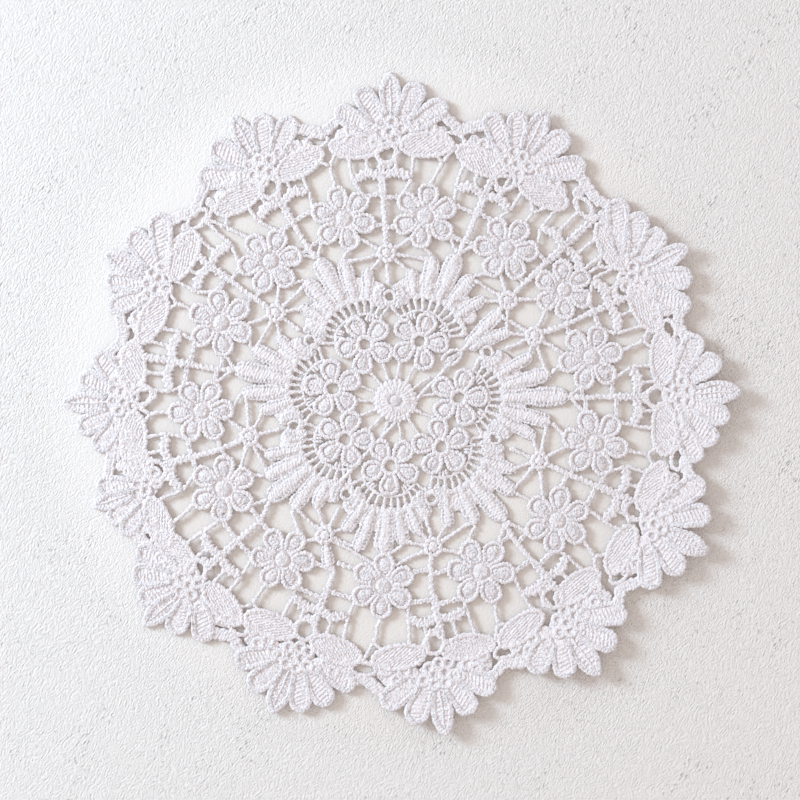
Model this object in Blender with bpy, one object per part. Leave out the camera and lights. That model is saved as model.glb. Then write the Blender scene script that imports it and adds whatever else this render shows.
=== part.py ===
"""A round lace doily, 300 mm across: one flat piece of white machine lace with raised flowers and leaves.

The plan is drawn first, on a fine square grid that holds how far inside the lace each point lies.
Motifs and bars are added to it ring by ring: a rosette in the middle, seven small flowers, the fans
that spread from them, knots and stems, fourteen larger flowers, and a border of thirteen palmettes.
The edge of the plan and its larger gaps are then followed, thinned to the points they need and
filled with triangles, and the crests of the motifs stand up from the net as points of the top face.
All sizes are in millimetres until the mesh is made. Angles run clockwise from +Y, and a place on a
ring is an angle and a radius from the rosette.
"""
import math

import bpy
import numpy as np
from mathutils import Vector, geometry

OBJECT_NAME = "lace_doily"
METRES = 0.001

# Heights of the lace above the surface it lies on
NET_TOP = 1.5
VALLEY_TOP = 1.4
LEAF_TOP = 2.4
PETAL_TOP = 2.5
BUTTON_TOP = 2.8

# Threads and gaps
BAR_HALF = 0.8
STEM_HALF = 1.0
ARM_HALF = 1.6
SMALLEST_GAP = 1.7       # a gap is cut through where it is deeper than this from its nearest thread
MOST_GAPS = 290
EDGE_TOLERANCE = 0.5     # how far a straight side may stray from the true edge
PEAK_CLEARANCE = 0.9     # crests keep this far inside the edge
PEAK_SPACING = 1.3       # and this far from each other

GRID = 0.5
REACH = 165.0
ROSETTE_AT = (-2.3, 1.0)  # the lace is a little uneven, so its middle is not the rosette's

# Rosette
ROSETTE_RADIUS = 9.8
ROSETTE_SCALLOPS = 14
ROSETTE_BUTTON = 3.2
SPOKE_ENDS = (9.0, 18.6)
SPOKES = (5, 29, 55, 80, 114.5, 145.5, 172, 200.5, 222, 247, 270.5, 292.5, 318, 340.5)

# Ring of small flowers, each with five petals, a hole in the middle and a fan of leaves outside it
SMALL_PETALS = 5
SMALL_HOLE = 2.4
SMALL_RING = 4.4
SMALL_REACH = 13.3
SMALL_PETAL_HALF = 4.7
LADDER = (12.6, 19.2)    # a netted arch between the small flower and its fan
LADDER_HALF_ANGLE = 58
SMALL_FLOWERS = (
    # angle, radius
    (21.8, 28.4), (87.3, 28.1), (135.6, 28.9), (184.6, 29.1), (232.5, 28.5), (280.7, 28.4), (331.5, 28.5),
)
FAN_HALF_WIDTHS = (2.9, 3.5, 4.3, 3.5, 2.9)
FANS = (
    # angle, then the tip of each leaf from left to right: sideways, outward from the rosette
    (23.0, (-17.0, 57.0), (-10.0, 66.0), (0.0, 71.0), (10.0, 65.0), (18.5, 57.5)),
    (88.0, (-18.0, 61.5), (-10.0, 69.5), (0.8, 77.0), (12.0, 69.0), (18.5, 62.0)),
    (137.0, (-18.0, 59.5), (-10.8, 66.5), (0.8, 72.5), (11.5, 64.5), (21.5, 57.5)),
    (185.5, (-16.5, 58.5), (-9.5, 64.0), (-1.0, 69.0), (11.0, 68.8), (17.5, 60.5)),
    (232.0, (-16.0, 58.0), (-9.8, 66.5), (0.4, 72.0), (9.3, 66.8), (16.5, 61.0)),
    (281.0, (-16.3, 58.8), (-10.0, 67.8), (0.4, 73.5), (10.6, 67.3), (18.0, 57.8)),
    (331.0, (-16.8, 58.0), (-9.6, 66.5), (0.4, 72.5), (10.0, 66.8), (18.0, 58.0)),
)
# Where the ring leaves a wider space, a leaf and two slim leaves fill it
FILLER_ANGLE = 52.5
FILLER_RADIUS = 31.5
FILLER_HALF_LENGTH = 5.5
FILLER_HALF_WIDTH = 3.8
FILLER_LEAVES = (
    # angle, tip radius, half width
    (49.6, 61.5, 3.2),
    (58.4, 59.8, 3.0),
)
# Between two small flowers: a small round hole under an arch of two curled leaves
ARCHES = (
    # angle, hole's radius from the rosette
    (-3.5, 46.2), (62.0, 46.0), (111.0, 47.0), (160.0, 46.5), (208.0, 46.8), (256.0, 46.6), (305.0, 46.2),
)
ARCH_HOLE = 1.9

# Knots that gather the net between the fans
KNOT_RADIUS = 4.2
KNOTS = (
    # angle, radius, length of the bar down to the arch below it
    (-3.5, 65.7, 14.0), (48.3, 67.0, 0.0), (65.0, 68.0, 14.5), (112.7, 69.3, 14.5), (165.6, 67.2, 14.0),
    (207.8, 67.6, 14.0), (256.2, 67.0, 14.0), (306.2, 66.1, 14.0),
)
KNOT_TO_FLOWER = 7.0     # how far from a larger flower's middle a knot's bar would end
LONGEST_TIE = 13.0       # a leaf's tip is tied to the nearest petal no further off than this
SHORTEST_TIE = 1.5
# A bud on the stem over one of the knots: its two ends, each an angle and a radius
BUD = ((206.5, 70.0), (201.6, 80.0), 2.9)

# Ring of larger flowers with six petals
LARGE_PETALS = 6
LARGE_REACH = 14.7
LARGE_PETAL_HALF = 4.7
LARGE_BUTTON = 3.1
LARGE_FLOWERS = (
    # angle, radius, size
    (9.0, 83.0, 1.0), (36.0, 83.5, 1.0), (56.5, 89.5, 0.92), (77.5, 88.8, 1.0), (102.0, 90.6, 1.03),
    (126.5, 89.2, 1.03), (153.5, 84.8, 1.04), (184.0, 82.6, 1.0), (215.5, 86.6, 0.98), (243.0, 86.1, 1.02),
    (267.0, 86.6, 1.0), (294.0, 85.2, 1.02), (318.0, 83.5, 1.0), (344.0, 84.4, 1.0),
)
# Stems between the larger flowers, each ending in a sprig with two drooping arms
STEMS = (
    # angle, foot's angle, foot's radius, sprig's radius
    (-3.5, -3.5, 69.5, 101.0), (23.5, 23.2, 70.0, 100.0), (47.5, 47.9, 70.0, 102.0), (65.8, 65.3, 71.5, 104.5),
    (89.0, 88.8, 76.0, 107.5), (113.0, 112.8, 73.0, 108.0), (139.5, 138.0, 72.0, 104.0),
    (169.0, 167.0, 70.0, 99.0), (200.0, 202.0, 79.0, 99.5), (228.5, 231.6, 71.5, 105.0),
    (254.5, 255.8, 70.5, 104.5), (280.0, 280.8, 73.0, 101.5), (306.0, 306.0, 70.0, 102.5),
    (330.0, 330.8, 72.0, 102.5),
)
STEM_BEND = 81.0         # a stem runs straight outward from here
ELBOW_OUT = 5.5
HAND_OUT = 12.0
HAND_DROP = 1.8

# Border of palmettes: a pointed leaf in the middle, rounded leaves beside it and two wings below
PALMETTE_HEIGHT = 31.0
POINTED_LENGTH = 9.5     # from the pointed leaf's tip to where it is widest
LEAF_ROOT_HALF = 3.0
WEB_HALF = 3.8           # what joins a leaf to the next one below their heads
WEB_SHARE = 0.72         # and how far up the leaves it runs
WING_HALF_LENGTH = 12.3
WING_HALF_HEIGHT = 5.9
WING_OUT = 15.6
VALLEY_HALF = 3.6
VALLEY_SCALLOP = 4.1
OPENING_HALF_HEIGHT = 1.9
PALMETTE_HOLE = 2.9
FORK_DROP = 8.0          # from the meeting of two wings down to the fork of the bar under it
FORK_SPREAD = 2.2
FORK_NEAR = 5.2          # a flower forks to the meeting of two wings no further round than this
PALMETTES = (
    # angle, wings' radius, hole, pointed leaf (tip sideways, tip outward, half width),
    # left leaves' heads and right leaves' heads (each sideways, outward, radius),
    # then towards the next palmette: the valley's radius and the opening (sideways, outward, half length)
    (-1.0, 113.5, (-2.0, 110.0), (0.0, 146.5, 5.2),
     ((-11.5, 135.0, 5.0), (-20.5, 127.5, 4.8)), ((10.5, 136.3, 5.2), (20.5, 129.0, 5.2)),
     127.0, (-1.5, 118.8, 4.3)),
    (27.5, 112.0, (-2.2, 109.5), (0.0, 145.0, 5.5),
     ((-9.0, 134.5, 4.8), (-18.5, 129.3, 5.2)), ((11.2, 135.5, 5.3), (22.5, 128.3, 5.4)),
     129.4, (-1.5, 120.0, 4.6)),
    (62.0, 117.0, (4.0, 113.5), (0.5, 146.5, 5.0),
     ((-9.5, 135.5, 5.0), (-19.0, 131.5, 5.5), (-28.5, 126.5, 5.5)), ((11.2, 136.8, 5.3), (21.3, 131.0, 5.2)),
     132.7, (0.5, 125.3, 3.8)),
    (88.5, 119.0, (1.5, 116.0), (0.0, 153.0, 5.4),
     ((-12.8, 139.5, 5.2), (-21.5, 132.2, 5.0)), ((10.0, 142.3, 5.2), (19.0, 137.3, 5.3), (26.0, 130.8, 5.0)),
     134.2, (-1.5, 127.8, 4.2)),
    (116.0, 119.0, (-3.0, 117.0), (0.0, 154.0, 5.3),
     ((-13.5, 142.8, 5.3), (-23.5, 135.3, 5.6)), ((11.0, 142.7, 5.4), (21.0, 135.5, 5.5)),
     133.5, (-4.5, 125.5, 4.6)),
    (143.5, 114.5, (-4.0, 112.0), (0.0, 151.3, 5.5),
     ((-11.5, 140.8, 5.2), (-22.0, 133.5, 5.5)), ((10.0, 138.8, 5.4), (18.0, 130.5, 5.8)),
     129.5, (-2.5, 121.3, 4.6)),
    (171.5, 113.0, (-1.0, 109.5), (0.0, 150.0, 5.3),
     ((-11.0, 137.3, 5.2), (-20.5, 130.0, 5.4)), ((11.3, 138.0, 5.5), (21.3, 130.5, 5.5)),
     128.0, (0.8, 120.0, 5.0)),
    (201.3, 113.0, (0.5, 109.5), (1.5, 149.5, 5.5),
     ((-8.8, 139.8, 5.0), (-17.5, 133.8, 5.2), (-24.5, 124.5, 5.0)), ((11.5, 138.0, 5.4), (20.5, 131.0, 5.2)),
     131.0, (0.5, 122.5, 4.4)),
    (228.0, 117.5, (3.5, 116.0), (1.0, 150.5, 5.3),
     ((-8.3, 138.5, 5.3), (-18.7, 131.8, 5.3)), ((9.0, 139.5, 5.0), (17.8, 135.3, 5.1), (24.0, 127.5, 5.0)),
     131.0, (6.3, 126.0, 4.2)),
    (250.5, 117.5, (6.2, 111.0), (0.8, 143.5, 4.5),
     ((-6.3, 134.0, 4.6), (-13.0, 130.3, 4.7)), ((7.0, 133.8, 4.8),),
     131.5, (-3.5, 123.0, 4.2)),
    (269.5, 116.5, (3.5, 113.0), (0.5, 148.5, 4.8),
     ((-9.5, 137.3, 4.8), (-17.0, 130.8, 4.8)), ((10.3, 136.0, 5.1), (19.0, 129.8, 5.0)),
     127.5, (1.5, 121.5, 3.8)),
    (296.5, 113.0, None, (1.0, 145.0, 5.0),
     ((-8.0, 135.2, 4.8), (-16.8, 129.3, 4.9)), ((12.5, 134.7, 5.4), (23.0, 128.5, 5.5)),
     126.5, (-1.5, 119.5, 5.0)),
    (330.0, 112.5, (-1.5, 110.0), (0.3, 146.0, 5.3),
     ((-11.5, 135.3, 5.4), (-22.3, 127.5, 5.6)), ((10.0, 135.8, 5.2), (19.0, 129.5, 5.2)),
     126.5, (-3.0, 120.5, 4.2)),
)


# --- The plan ---------------------------------------------------------------------------------------

steps = np.arange(-REACH, REACH + GRID, GRID)
inside = np.full((steps.size, steps.size), -REACH)
peaks = []


def window(middle, reach):
    """The slice of grid lines within reach of a coordinate."""
    first = np.searchsorted(steps, middle - reach)
    return slice(max(first - 1, 0), np.searchsorted(steps, middle + reach) + 1)


def stamp(depth, centre, reach, cut=False):
    """Adds the shape to the plan, or cuts it out, where depth(x, y) says how far inside it a point lies."""
    area = (window(centre[1], reach), window(centre[0], reach))
    x, y = np.meshgrid(steps[area[1]], steps[area[0]])
    if cut:
        inside[area] = np.minimum(inside[area], -depth(x, y))
    else:
        inside[area] = np.maximum(inside[area], depth(x, y))


def disc(centre, radius, cut=False):
    """A round plate, or a round hole."""
    stamp(lambda x, y: radius - np.hypot(x - centre[0], y - centre[1]), centre, radius + 2, cut)


def bar(start, end, half, end_half=None, cut=False):
    """A straight band with round ends, whose half width runs from one end's to the other's."""
    end_half = half if end_half is None else end_half
    start, end = np.array(start), np.array(end)
    along = end - start
    length = float(np.hypot(*along))

    def depth(x, y):
        share = ((x - start[0]) * along[0] + (y - start[1]) * along[1]) / length**2
        share = np.clip(share, 0, 1)
        off = np.hypot(x - start[0] - share * along[0], y - start[1] - share * along[1])
        return half + share * (end_half - half) - off

    stamp(depth, (start + end) / 2, length / 2 + max(half, end_half) + 2, cut)


def oval(centre, direction, half_length, half_width, point=2.0, cut=False):
    """An oval along the direction, more pointed as its exponent falls from 2."""
    c, s = direction

    def depth(x, y):
        along = np.abs((x - centre[0]) * c + (y - centre[1]) * s) / half_length
        across = np.abs((y - centre[1]) * c - (x - centre[0]) * s) / half_width
        return (1 - (along**point + across**point) ** (1 / point)) * half_width

    stamp(depth, centre, half_length + 2, cut)


def thread(points, half):
    """A bar through several points."""
    for start, end in zip(points, points[1:]):
        bar(start, end, half)


def crest(point, height):
    peaks.append((point[0], point[1], height))


def frame_at(angle, radius=0.0, middle=ROSETTE_AT, turn=0.0):
    """A local frame on a ring: the function takes (sideways, outward) to the plan's x and y."""
    a = math.radians(angle)
    t = math.radians(angle + turn)
    x0 = middle[0] + radius * math.sin(a)
    y0 = middle[1] + radius * math.cos(a)

    def place(sideways, outward):
        return (
            x0 + sideways * math.cos(t) + outward * math.sin(t),
            y0 - sideways * math.sin(t) + outward * math.cos(t),
        )

    return place


def between(start, end, share):
    return tuple(a + (b - a) * share for a, b in zip(start, end))


# --- Rings of the lace ------------------------------------------------------------------------------


def rosette():
    centre = ROSETTE_AT
    disc(centre, ROSETTE_RADIUS - 0.6)
    crest(centre, BUTTON_TOP)
    for i in range(ROSETTE_SCALLOPS):
        at = frame_at(360 * i / ROSETTE_SCALLOPS)
        disc(at(0, ROSETTE_RADIUS - 1.9), 1.9)
        crest(at(0, ROSETTE_RADIUS - 3.2), PETAL_TOP)
        if i % 2 == 0:
            crest(at(0, ROSETTE_BUTTON - 0.8), BUTTON_TOP)
            crest(at(0, ROSETTE_BUTTON + 1.0), VALLEY_TOP)
    for angle in SPOKES:
        at = frame_at(angle)
        bar(at(0, SPOKE_ENDS[0]), at(0, SPOKE_ENDS[1]), BAR_HALF)


def small_flower(angle, radius):
    at = frame_at(angle, radius)
    disc(at(0, 0), SMALL_RING)
    for i in range(SMALL_PETALS):
        turned = frame_at(angle, radius, turn=360 * i / SMALL_PETALS)
        bar(turned(0, 5.5), turned(0, SMALL_REACH - SMALL_PETAL_HALF), 2.4, SMALL_PETAL_HALF)
        crest(turned(0, 8.4), PETAL_TOP)
        crest(turned(0, 11.2), PETAL_TOP)
        half_turned = frame_at(angle, radius, turn=360 * (i + 0.5) / SMALL_PETALS)
        crest(half_turned(0, 5.8), VALLEY_TOP)


def ladder_arch(angle, radius):
    """The netted arch outside a small flower: its rungs are too close to cut, so it is plain here."""
    at = [frame_at(angle, radius, turn=t)(0, sum(LADDER) / 2)
          for t in np.linspace(-LADDER_HALF_ANGLE, LADDER_HALF_ANGLE, 9)]
    thread(at, (LADDER[1] - LADDER[0]) / 2 + 0.3)


def fan_leaves(flower, fan):
    """The five leaves of a fan: its root in the small flower, each leaf's end and each leaf's half width."""
    root = frame_at(*flower)(0, 0)
    at = frame_at(fan[0])
    return [(root, at(*tip), half) for tip, half in zip(fan[1:], FAN_HALF_WIDTHS)]


def filler_leaves():
    root = frame_at(FILLER_ANGLE, FILLER_RADIUS + 3)(0, 0)
    return [(root, frame_at(angle, tip)(0, 0), half) for angle, tip, half in FILLER_LEAVES]


def slim_leaf(root, end, half, start):
    """A slim leaf with a round tip, widening from its root."""
    length = math.dist(root, end)
    near_tip = between(root, end, 1 - half / length)
    bar(between(root, end, start / length), near_tip, half * 0.75, half)
    crest(between(root, end, (start + 3) / length), LEAF_TOP)
    crest(between(root, end, (start / length + 1) / 2), LEAF_TOP)
    crest(near_tip, LEAF_TOP)


def filler():
    """The leaf that fills the wider space in the ring of small flowers."""
    heading = math.radians(FILLER_ANGLE + 8)
    centre = frame_at(FILLER_ANGLE, FILLER_RADIUS)(0, 0)
    oval(centre, (math.sin(heading), math.cos(heading)), FILLER_HALF_LENGTH, FILLER_HALF_WIDTH, 1.8)
    crest(centre, PETAL_TOP)


def arch(angle, radius):
    """Two curled leaves over a small hole, between two fans."""
    at = frame_at(angle, radius)
    for side in (-1, 1):
        thread([at(side * 3.2, -3.5), at(side * 4.6, 0.5), at(side * 3.6, 3.6), at(side * 1.0, 3.4)], 1.9)
        crest(at(side * 4.3, 2.0), LEAF_TOP)


def knot(angle, radius, drop, tips):
    """A knot, with bars to the two nearest leaves on each side, to the flowers above and down."""
    at = frame_at(angle, radius)
    disc(at(0, 0), KNOT_RADIUS)
    crest(at(0, 0), BUTTON_TOP)
    if drop > 0:
        bar(at(0, 0), at(0, -drop), BAR_HALF)
    for side in (-1, 1):
        here = [tip for tip in tips if 2 < side * side_of(tip, angle) < 24]
        for tip in sorted(here, key=lambda tip: math.dist(tip, at(0, 0)))[:2]:
            bar(at(0, 0), between(tip, ROSETTE_AT, 2.0 / math.dist(tip, ROSETTE_AT)), BAR_HALF)
        flowers = [frame_at(row[0], row[1])(0, -KNOT_TO_FLOWER) for row in LARGE_FLOWERS]
        here = [point for point in flowers if side * side_of(point, angle) > 2]
        bar(at(0, 0), min(here, key=lambda point: math.dist(point, at(0, 0))), BAR_HALF)


def side_of(point, angle):
    """How far a point lies clockwise of the line from the rosette at an angle."""
    a = math.radians(angle)
    return (point[0] - ROSETTE_AT[0]) * math.cos(a) - (point[1] - ROSETTE_AT[1]) * math.sin(a)


def ties(fan):
    """Bars from a fan's leaves to the larger flowers: two from the middle leaf, one from each beside it."""
    at = frame_at(fan[0])
    for leaf, side, petal in ((2, -1, 3), (3, -1, 2), (3, 1, 4), (4, 1, 3)):
        tip = at(*fan[leaf])
        petals = [flower_tip(row, petal) for row in LARGE_FLOWERS]
        here = [point for point in petals if side * side_of(point, fan[0]) > 0]
        nearest = min(here, key=lambda point: math.dist(point, tip))
        if SHORTEST_TIE < math.dist(nearest, tip) < LONGEST_TIE:
            bar(tip, nearest, BAR_HALF)


def bud():
    """A leaf on the stem over one of the knots."""
    foot, end, half = BUD
    slim_leaf(frame_at(*foot)(0, 0), frame_at(*end)(0, 0), half, 1.0)


def large_flower(angle, radius, size):
    at = frame_at(angle, radius)
    disc(at(0, 0), 5.4 * size)
    crest(at(0, 0), BUTTON_TOP)
    for i in range(LARGE_PETALS):
        turned = frame_at(angle, radius, turn=360 * i / LARGE_PETALS)
        half = LARGE_PETAL_HALF * size
        bar(turned(0, 6.0 * size), turned(0, LARGE_REACH * size - half), 2.9 * size, half)
        crest(turned(0, 8.0 * size), PETAL_TOP)
        crest(turned(0, 11.6 * size), PETAL_TOP)
        crest(turned(0, (LARGE_BUTTON - 1.0) * size), BUTTON_TOP)
        half_turned = frame_at(angle, radius, turn=360 * (i + 0.5) / LARGE_PETALS)
        crest(half_turned(0, (LARGE_BUTTON + 1.2) * size), VALLEY_TOP)
        crest(half_turned(0, 8.6 * size), VALLEY_TOP)


def flower_tip(row, petal):
    """The end of one petal of a larger flower: petal 0 points outward and the rest follow clockwise."""
    angle, radius, size = row
    return frame_at(angle, radius, turn=360 * petal / LARGE_PETALS)(0, (LARGE_REACH - 1.2) * size)


def border_underside(point):
    """The radius at which the border begins, outward of a point."""
    bearing = math.degrees(math.atan2(point[0] - ROSETTE_AT[0], point[1] - ROSETTE_AT[1]))
    row = min(PALMETTES, key=lambda row: abs((row[0] - bearing + 180) % 360 - 180))
    turn = math.radians((bearing - row[0] + 180) % 360 - 180)
    along = min(abs(abs(math.tan(turn) * row[1]) - WING_OUT) / WING_HALF_LENGTH, 1.0)
    return (row[1] - WING_HALF_HEIGHT * math.sqrt(1 - along**2)) / math.cos(turn)


def riser(start, spread=0.0):
    """A bar from a point outward to the border."""
    bearing = math.degrees(math.atan2(start[0] - ROSETTE_AT[0], start[1] - ROSETTE_AT[1]))
    end = frame_at(bearing + spread)(0, border_underside(frame_at(bearing + spread)(0, 100)) + 1.5)
    bar(start, end, BAR_HALF)


def stem(angle, foot_angle, foot, sprig, before, after):
    """A stem with bars to the flowers at its two sides, and a sprig of two arms at its top."""
    at = frame_at(angle)
    thread([frame_at(foot_angle)(0, foot), at(0, STEM_BEND), at(0, sprig - 10)], STEM_HALF)
    bar(at(0, sprig - 10), at(0, border_underside(at(0, sprig)) + 1.5), ARM_HALF)
    crest(at(0, sprig - 6), LEAF_TOP)
    crest(at(0, sprig), LEAF_TOP)
    for row, upper, lower, side in ((before, 1, 2, -1), (after, 5, 4, 1)):
        for petal in (upper, lower):
            tip = flower_tip(row, petal)
            outward = math.hypot(tip[0] - ROSETTE_AT[0], tip[1] - ROSETTE_AT[1])
            bar(at(0, outward), tip, BAR_HALF)
        elbow = at(side * ELBOW_OUT, sprig + 0.3)
        hand = at(side * HAND_OUT, sprig - HAND_DROP)
        thread([at(0, sprig - 1.5), elbow, hand], ARM_HALF)
        bar(hand, flower_tip(row, upper), BAR_HALF)
        riser(elbow)
        riser(hand)
        crest(at(side * 6.5, sprig), LEAF_TOP)
        crest(at(side * 10.5, sprig - 1.3), LEAF_TOP)


def meetings():
    """Where the wings of each palmette meet the next one's: the angle and the radius of each place."""
    places = []
    for this, following in zip(PALMETTES, PALMETTES[1:] + PALMETTES[:1]):
        ends = [math.hypot(WING_OUT + WING_HALF_LENGTH, row[1]) for row in (this, following)]
        places.append((this[0] + (following[0] - this[0]) % 360 / 2, sum(ends) / 2))
    return places


def flower_fork(row):
    """The forked bar from a larger flower's outermost petal to the border."""
    tip = flower_tip(row, 0)
    angle, radius = min(meetings(), key=lambda place: abs((place[0] - row[0] + 180) % 360 - 180))
    aside = (angle - row[0] + 180) % 360 - 180
    if abs(aside) < FORK_NEAR:
        fork = frame_at(row[0] + aside / 2)(0, radius - FORK_DROP)
    else:
        fork = frame_at(row[0])(0, border_underside(tip) - FORK_DROP / 2)
    bar(tip, fork, BAR_HALF)
    riser(fork, FORK_SPREAD)
    riser(fork, -FORK_SPREAD)


def palmette(angle, wings, hole, pointed, left, right, valley, opening):
    at = frame_at(angle)
    tip_side, tip, tip_half = pointed
    base = at(0, tip - PALMETTE_HEIGHT)
    end = at(tip_side, tip)
    wide = between(end, base, POINTED_LENGTH / math.dist(base, end))
    turn = math.atan2(end[0] - base[0], end[1] - base[1])
    oval(wide, (math.sin(turn), math.cos(turn)), POINTED_LENGTH, tip_half, 1.75)
    bar(base, wide, LEAF_ROOT_HALF, tip_half * 0.95)
    crest(between(wide, end, 0.2), LEAF_TOP)
    crest(between(base, wide, 0.6), LEAF_TOP)
    row = [at(*head[:2]) for head in left[::-1]] + [wide] + [at(*head[:2]) for head in right]
    for start, after in zip(row, row[1:]):
        bar(between(base, start, WEB_SHARE), between(base, after, WEB_SHARE), WEB_HALF)
    for side_out, outward, radius in left + right:
        head = at(side_out, outward)
        bar(between(base, head, 0.3), head, LEAF_ROOT_HALF, radius)
        crest(between(base, head, 0.6), LEAF_TOP)
        crest(head, LEAF_TOP)
    disc(at(0, tip - PALMETTE_HEIGHT + 1), 9.0)
    turn = math.radians(angle)
    for side, last in ((-1, left[-1]), (1, right[-1])):
        oval(at(side * WING_OUT, wings), (math.cos(turn), -math.sin(turn)), WING_HALF_LENGTH, WING_HALF_HEIGHT)
        for share in (-0.5, 0, 0.5):
            crest(at(side * WING_OUT + share * WING_HALF_LENGTH, wings), LEAF_TOP)
        bar(at(0, wings + 2), at(side * WING_OUT, wings + 5), 4.0)
        bar(at(side * WING_OUT, wings + 4), at(*last[:2]), 4.4)
        bar(at(side * (WING_OUT + 6), wings + 2), at(*last[:2]), 4.0)


def links():
    """What joins each palmette to the next: a scalloped valley and the meeting of their wings."""
    for this, following, meeting in zip(PALMETTES, PALMETTES[1:] + PALMETTES[:1], meetings()):
        start = frame_at(this[0])(*this[5][-1][:2])
        end = frame_at(following[0])(*following[4][-1][:2])
        at = frame_at(meeting[0])
        valley = at(0, this[6] - VALLEY_HALF)
        thread([start, valley, end], VALLEY_HALF)
        for edge in (start, end):
            for share in (0.0, 0.36, 0.7):
                disc(between(valley, edge, share), VALLEY_SCALLOP)
        disc(at(0, meeting[1]), 3.2)
        for side, row in ((-1, this), (1, following)):
            bar(at(side * 4.5, meeting[1] + 1), valley, 3.4)
            bar(at(side * 8.0, meeting[1] + 3), at(side * 7.0, this[6] - 4.5), 4.0)


def openings():
    """The holes of the lace that are cut last, through whatever lies there."""
    for angle, radius in SMALL_FLOWERS:
        disc(frame_at(angle, radius)(0, 0), SMALL_HOLE, cut=True)
    for angle, radius in ARCHES:
        disc(frame_at(angle, radius)(0, 0), ARCH_HOLE, cut=True)
    for row, meeting in zip(PALMETTES, meetings()):
        if row[2] is not None:
            disc(frame_at(row[0])(*row[2]), PALMETTE_HOLE, cut=True)
        sideways, outward, half_length = row[7]
        turn = math.radians(meeting[0])
        along = (math.cos(turn), -math.sin(turn))
        oval(frame_at(meeting[0])(sideways, outward), along, half_length, OPENING_HALF_HEIGHT, cut=True)


def draw_plan():
    rosette()
    leaves = []
    for flower, fan in zip(SMALL_FLOWERS, FANS):
        small_flower(*flower)
        ladder_arch(*flower)
        leaves += fan_leaves(flower, fan)
    for root, end, half in leaves:
        slim_leaf(root, end, half, LADDER[1])
    filler()
    for root, end, half in filler_leaves():
        slim_leaf(root, end, half, FILLER_HALF_LENGTH)
        leaves.append((root, end, half))
    for angle, radius in ARCHES:
        arch(angle, radius)
    tips = [end for _, end, _ in leaves]
    for angle, radius, drop in KNOTS:
        knot(angle, radius, drop, tips)
    for fan in FANS:
        ties(fan)
    bud()
    for row in LARGE_FLOWERS:
        large_flower(*row)
        flower_fork(row)
    for i, row in enumerate(STEMS):
        stem(*row, LARGE_FLOWERS[i - 1], LARGE_FLOWERS[i])
    for row in PALMETTES:
        palmette(*row)
    links()
    openings()


# --- The solid --------------------------------------------------------------------------------------


def edge_loops():
    """Closed loops along the edge of the plan, each a list of points with the lace on its left."""
    filled = inside > 0
    # Each grid square's case: one bit for each of its corners that lies in the lace
    case = (filled[:-1, :-1] * 1 + filled[:-1, 1:] * 2 + filled[1:, 1:] * 4 + filled[1:, :-1] * 8)
    # The sides of a square are 0 below, 1 right, 2 above and 3 left; an edge runs from one to another
    crossings = {1: ((0, 3),), 2: ((1, 0),), 3: ((1, 3),), 4: ((2, 1),), 5: ((0, 3), (2, 1)), 6: ((2, 0),),
                 7: ((2, 3),), 8: ((3, 2),), 9: ((0, 2),), 10: ((1, 0), (3, 2)), 11: ((1, 2),), 12: ((3, 1),),
                 13: ((0, 1),), 14: ((3, 0),)}
    following = {}
    for kind, runs in crossings.items():
        for row, column in zip(*np.nonzero(case == kind)):
            sides = ((row, column, 0), (row, column + 1, 1), (row + 1, column, 0), (row, column, 1))
            for first, second in runs:
                following[sides[first]] = sides[second]

    def point(side):
        row, column, upright = side
        here = inside[row, column]
        there = inside[row + upright, column + 1 - upright]
        share = GRID * here / (here - there)
        return (steps[column] + share * (1 - upright), steps[row] + share * upright)

    loops = []
    while following:
        side = next(iter(following))
        loop = []
        while side in following:
            loop.append(point(side))
            side = following.pop(side)
        loops.append(np.array(loop))
    return loops


def area(loop):
    """The loop's area, positive where it runs anticlockwise."""
    after = np.roll(loop, -1, axis=0)
    return float((loop[:, 0] * after[:, 1] - after[:, 0] * loop[:, 1]).sum()) / 2


def thinned(loop, tolerance):
    """The loop without the points that its straight sides can do without, within the tolerance."""
    start = int(np.argmax(np.hypot(*(loop - loop.mean(axis=0)).T)))
    loop = np.roll(loop, -start, axis=0)
    opposite = int(np.argmax(np.hypot(*(loop - loop[0]).T)))
    closed = np.vstack([loop, loop[:1]])
    keep = {0, opposite}
    spans = [(0, opposite), (opposite, len(loop))]
    while spans:
        first, last = spans.pop()
        chord = closed[last] - closed[first]
        length = float(np.hypot(*chord))
        between_points = closed[first + 1:last] - closed[first]
        if len(between_points) == 0:
            continue
        if length > 0:
            off = np.abs(between_points[:, 0] * chord[1] - between_points[:, 1] * chord[0]) / length
        else:
            off = np.hypot(*between_points.T)
        furthest = int(np.argmax(off))
        if off[furthest] > tolerance:
            middle = first + 1 + furthest
            keep.add(middle)
            spans += [(first, middle), (middle, last)]
    return loop[sorted(keep)]


def depth_of_gap(loop):
    """How far the middle of a gap lies from the nearest thread."""
    low = np.searchsorted(steps, loop.min(axis=0)) - 1
    high = np.searchsorted(steps, loop.max(axis=0)) + 1
    x, y = np.meshgrid(steps[low[0]:high[0]], steps[low[1]:high[1]])
    depth = -inside[low[1]:high[1], low[0]:high[0]]
    return float(depth[within(loop, x, y)].max(initial=0.0))


def within(loop, x, y):
    """Which points lie inside the loop: those whose ray crosses it an odd number of times."""
    crossed = np.zeros(x.shape, bool)
    for (x1, y1), (x2, y2) in zip(loop, np.roll(loop, -1, axis=0)):
        if y1 != y2:
            crossed ^= ((y1 > y) != (y2 > y)) & (x < (x2 - x1) * (y - y1) / (y2 - y1) + x1)
    return crossed


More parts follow.
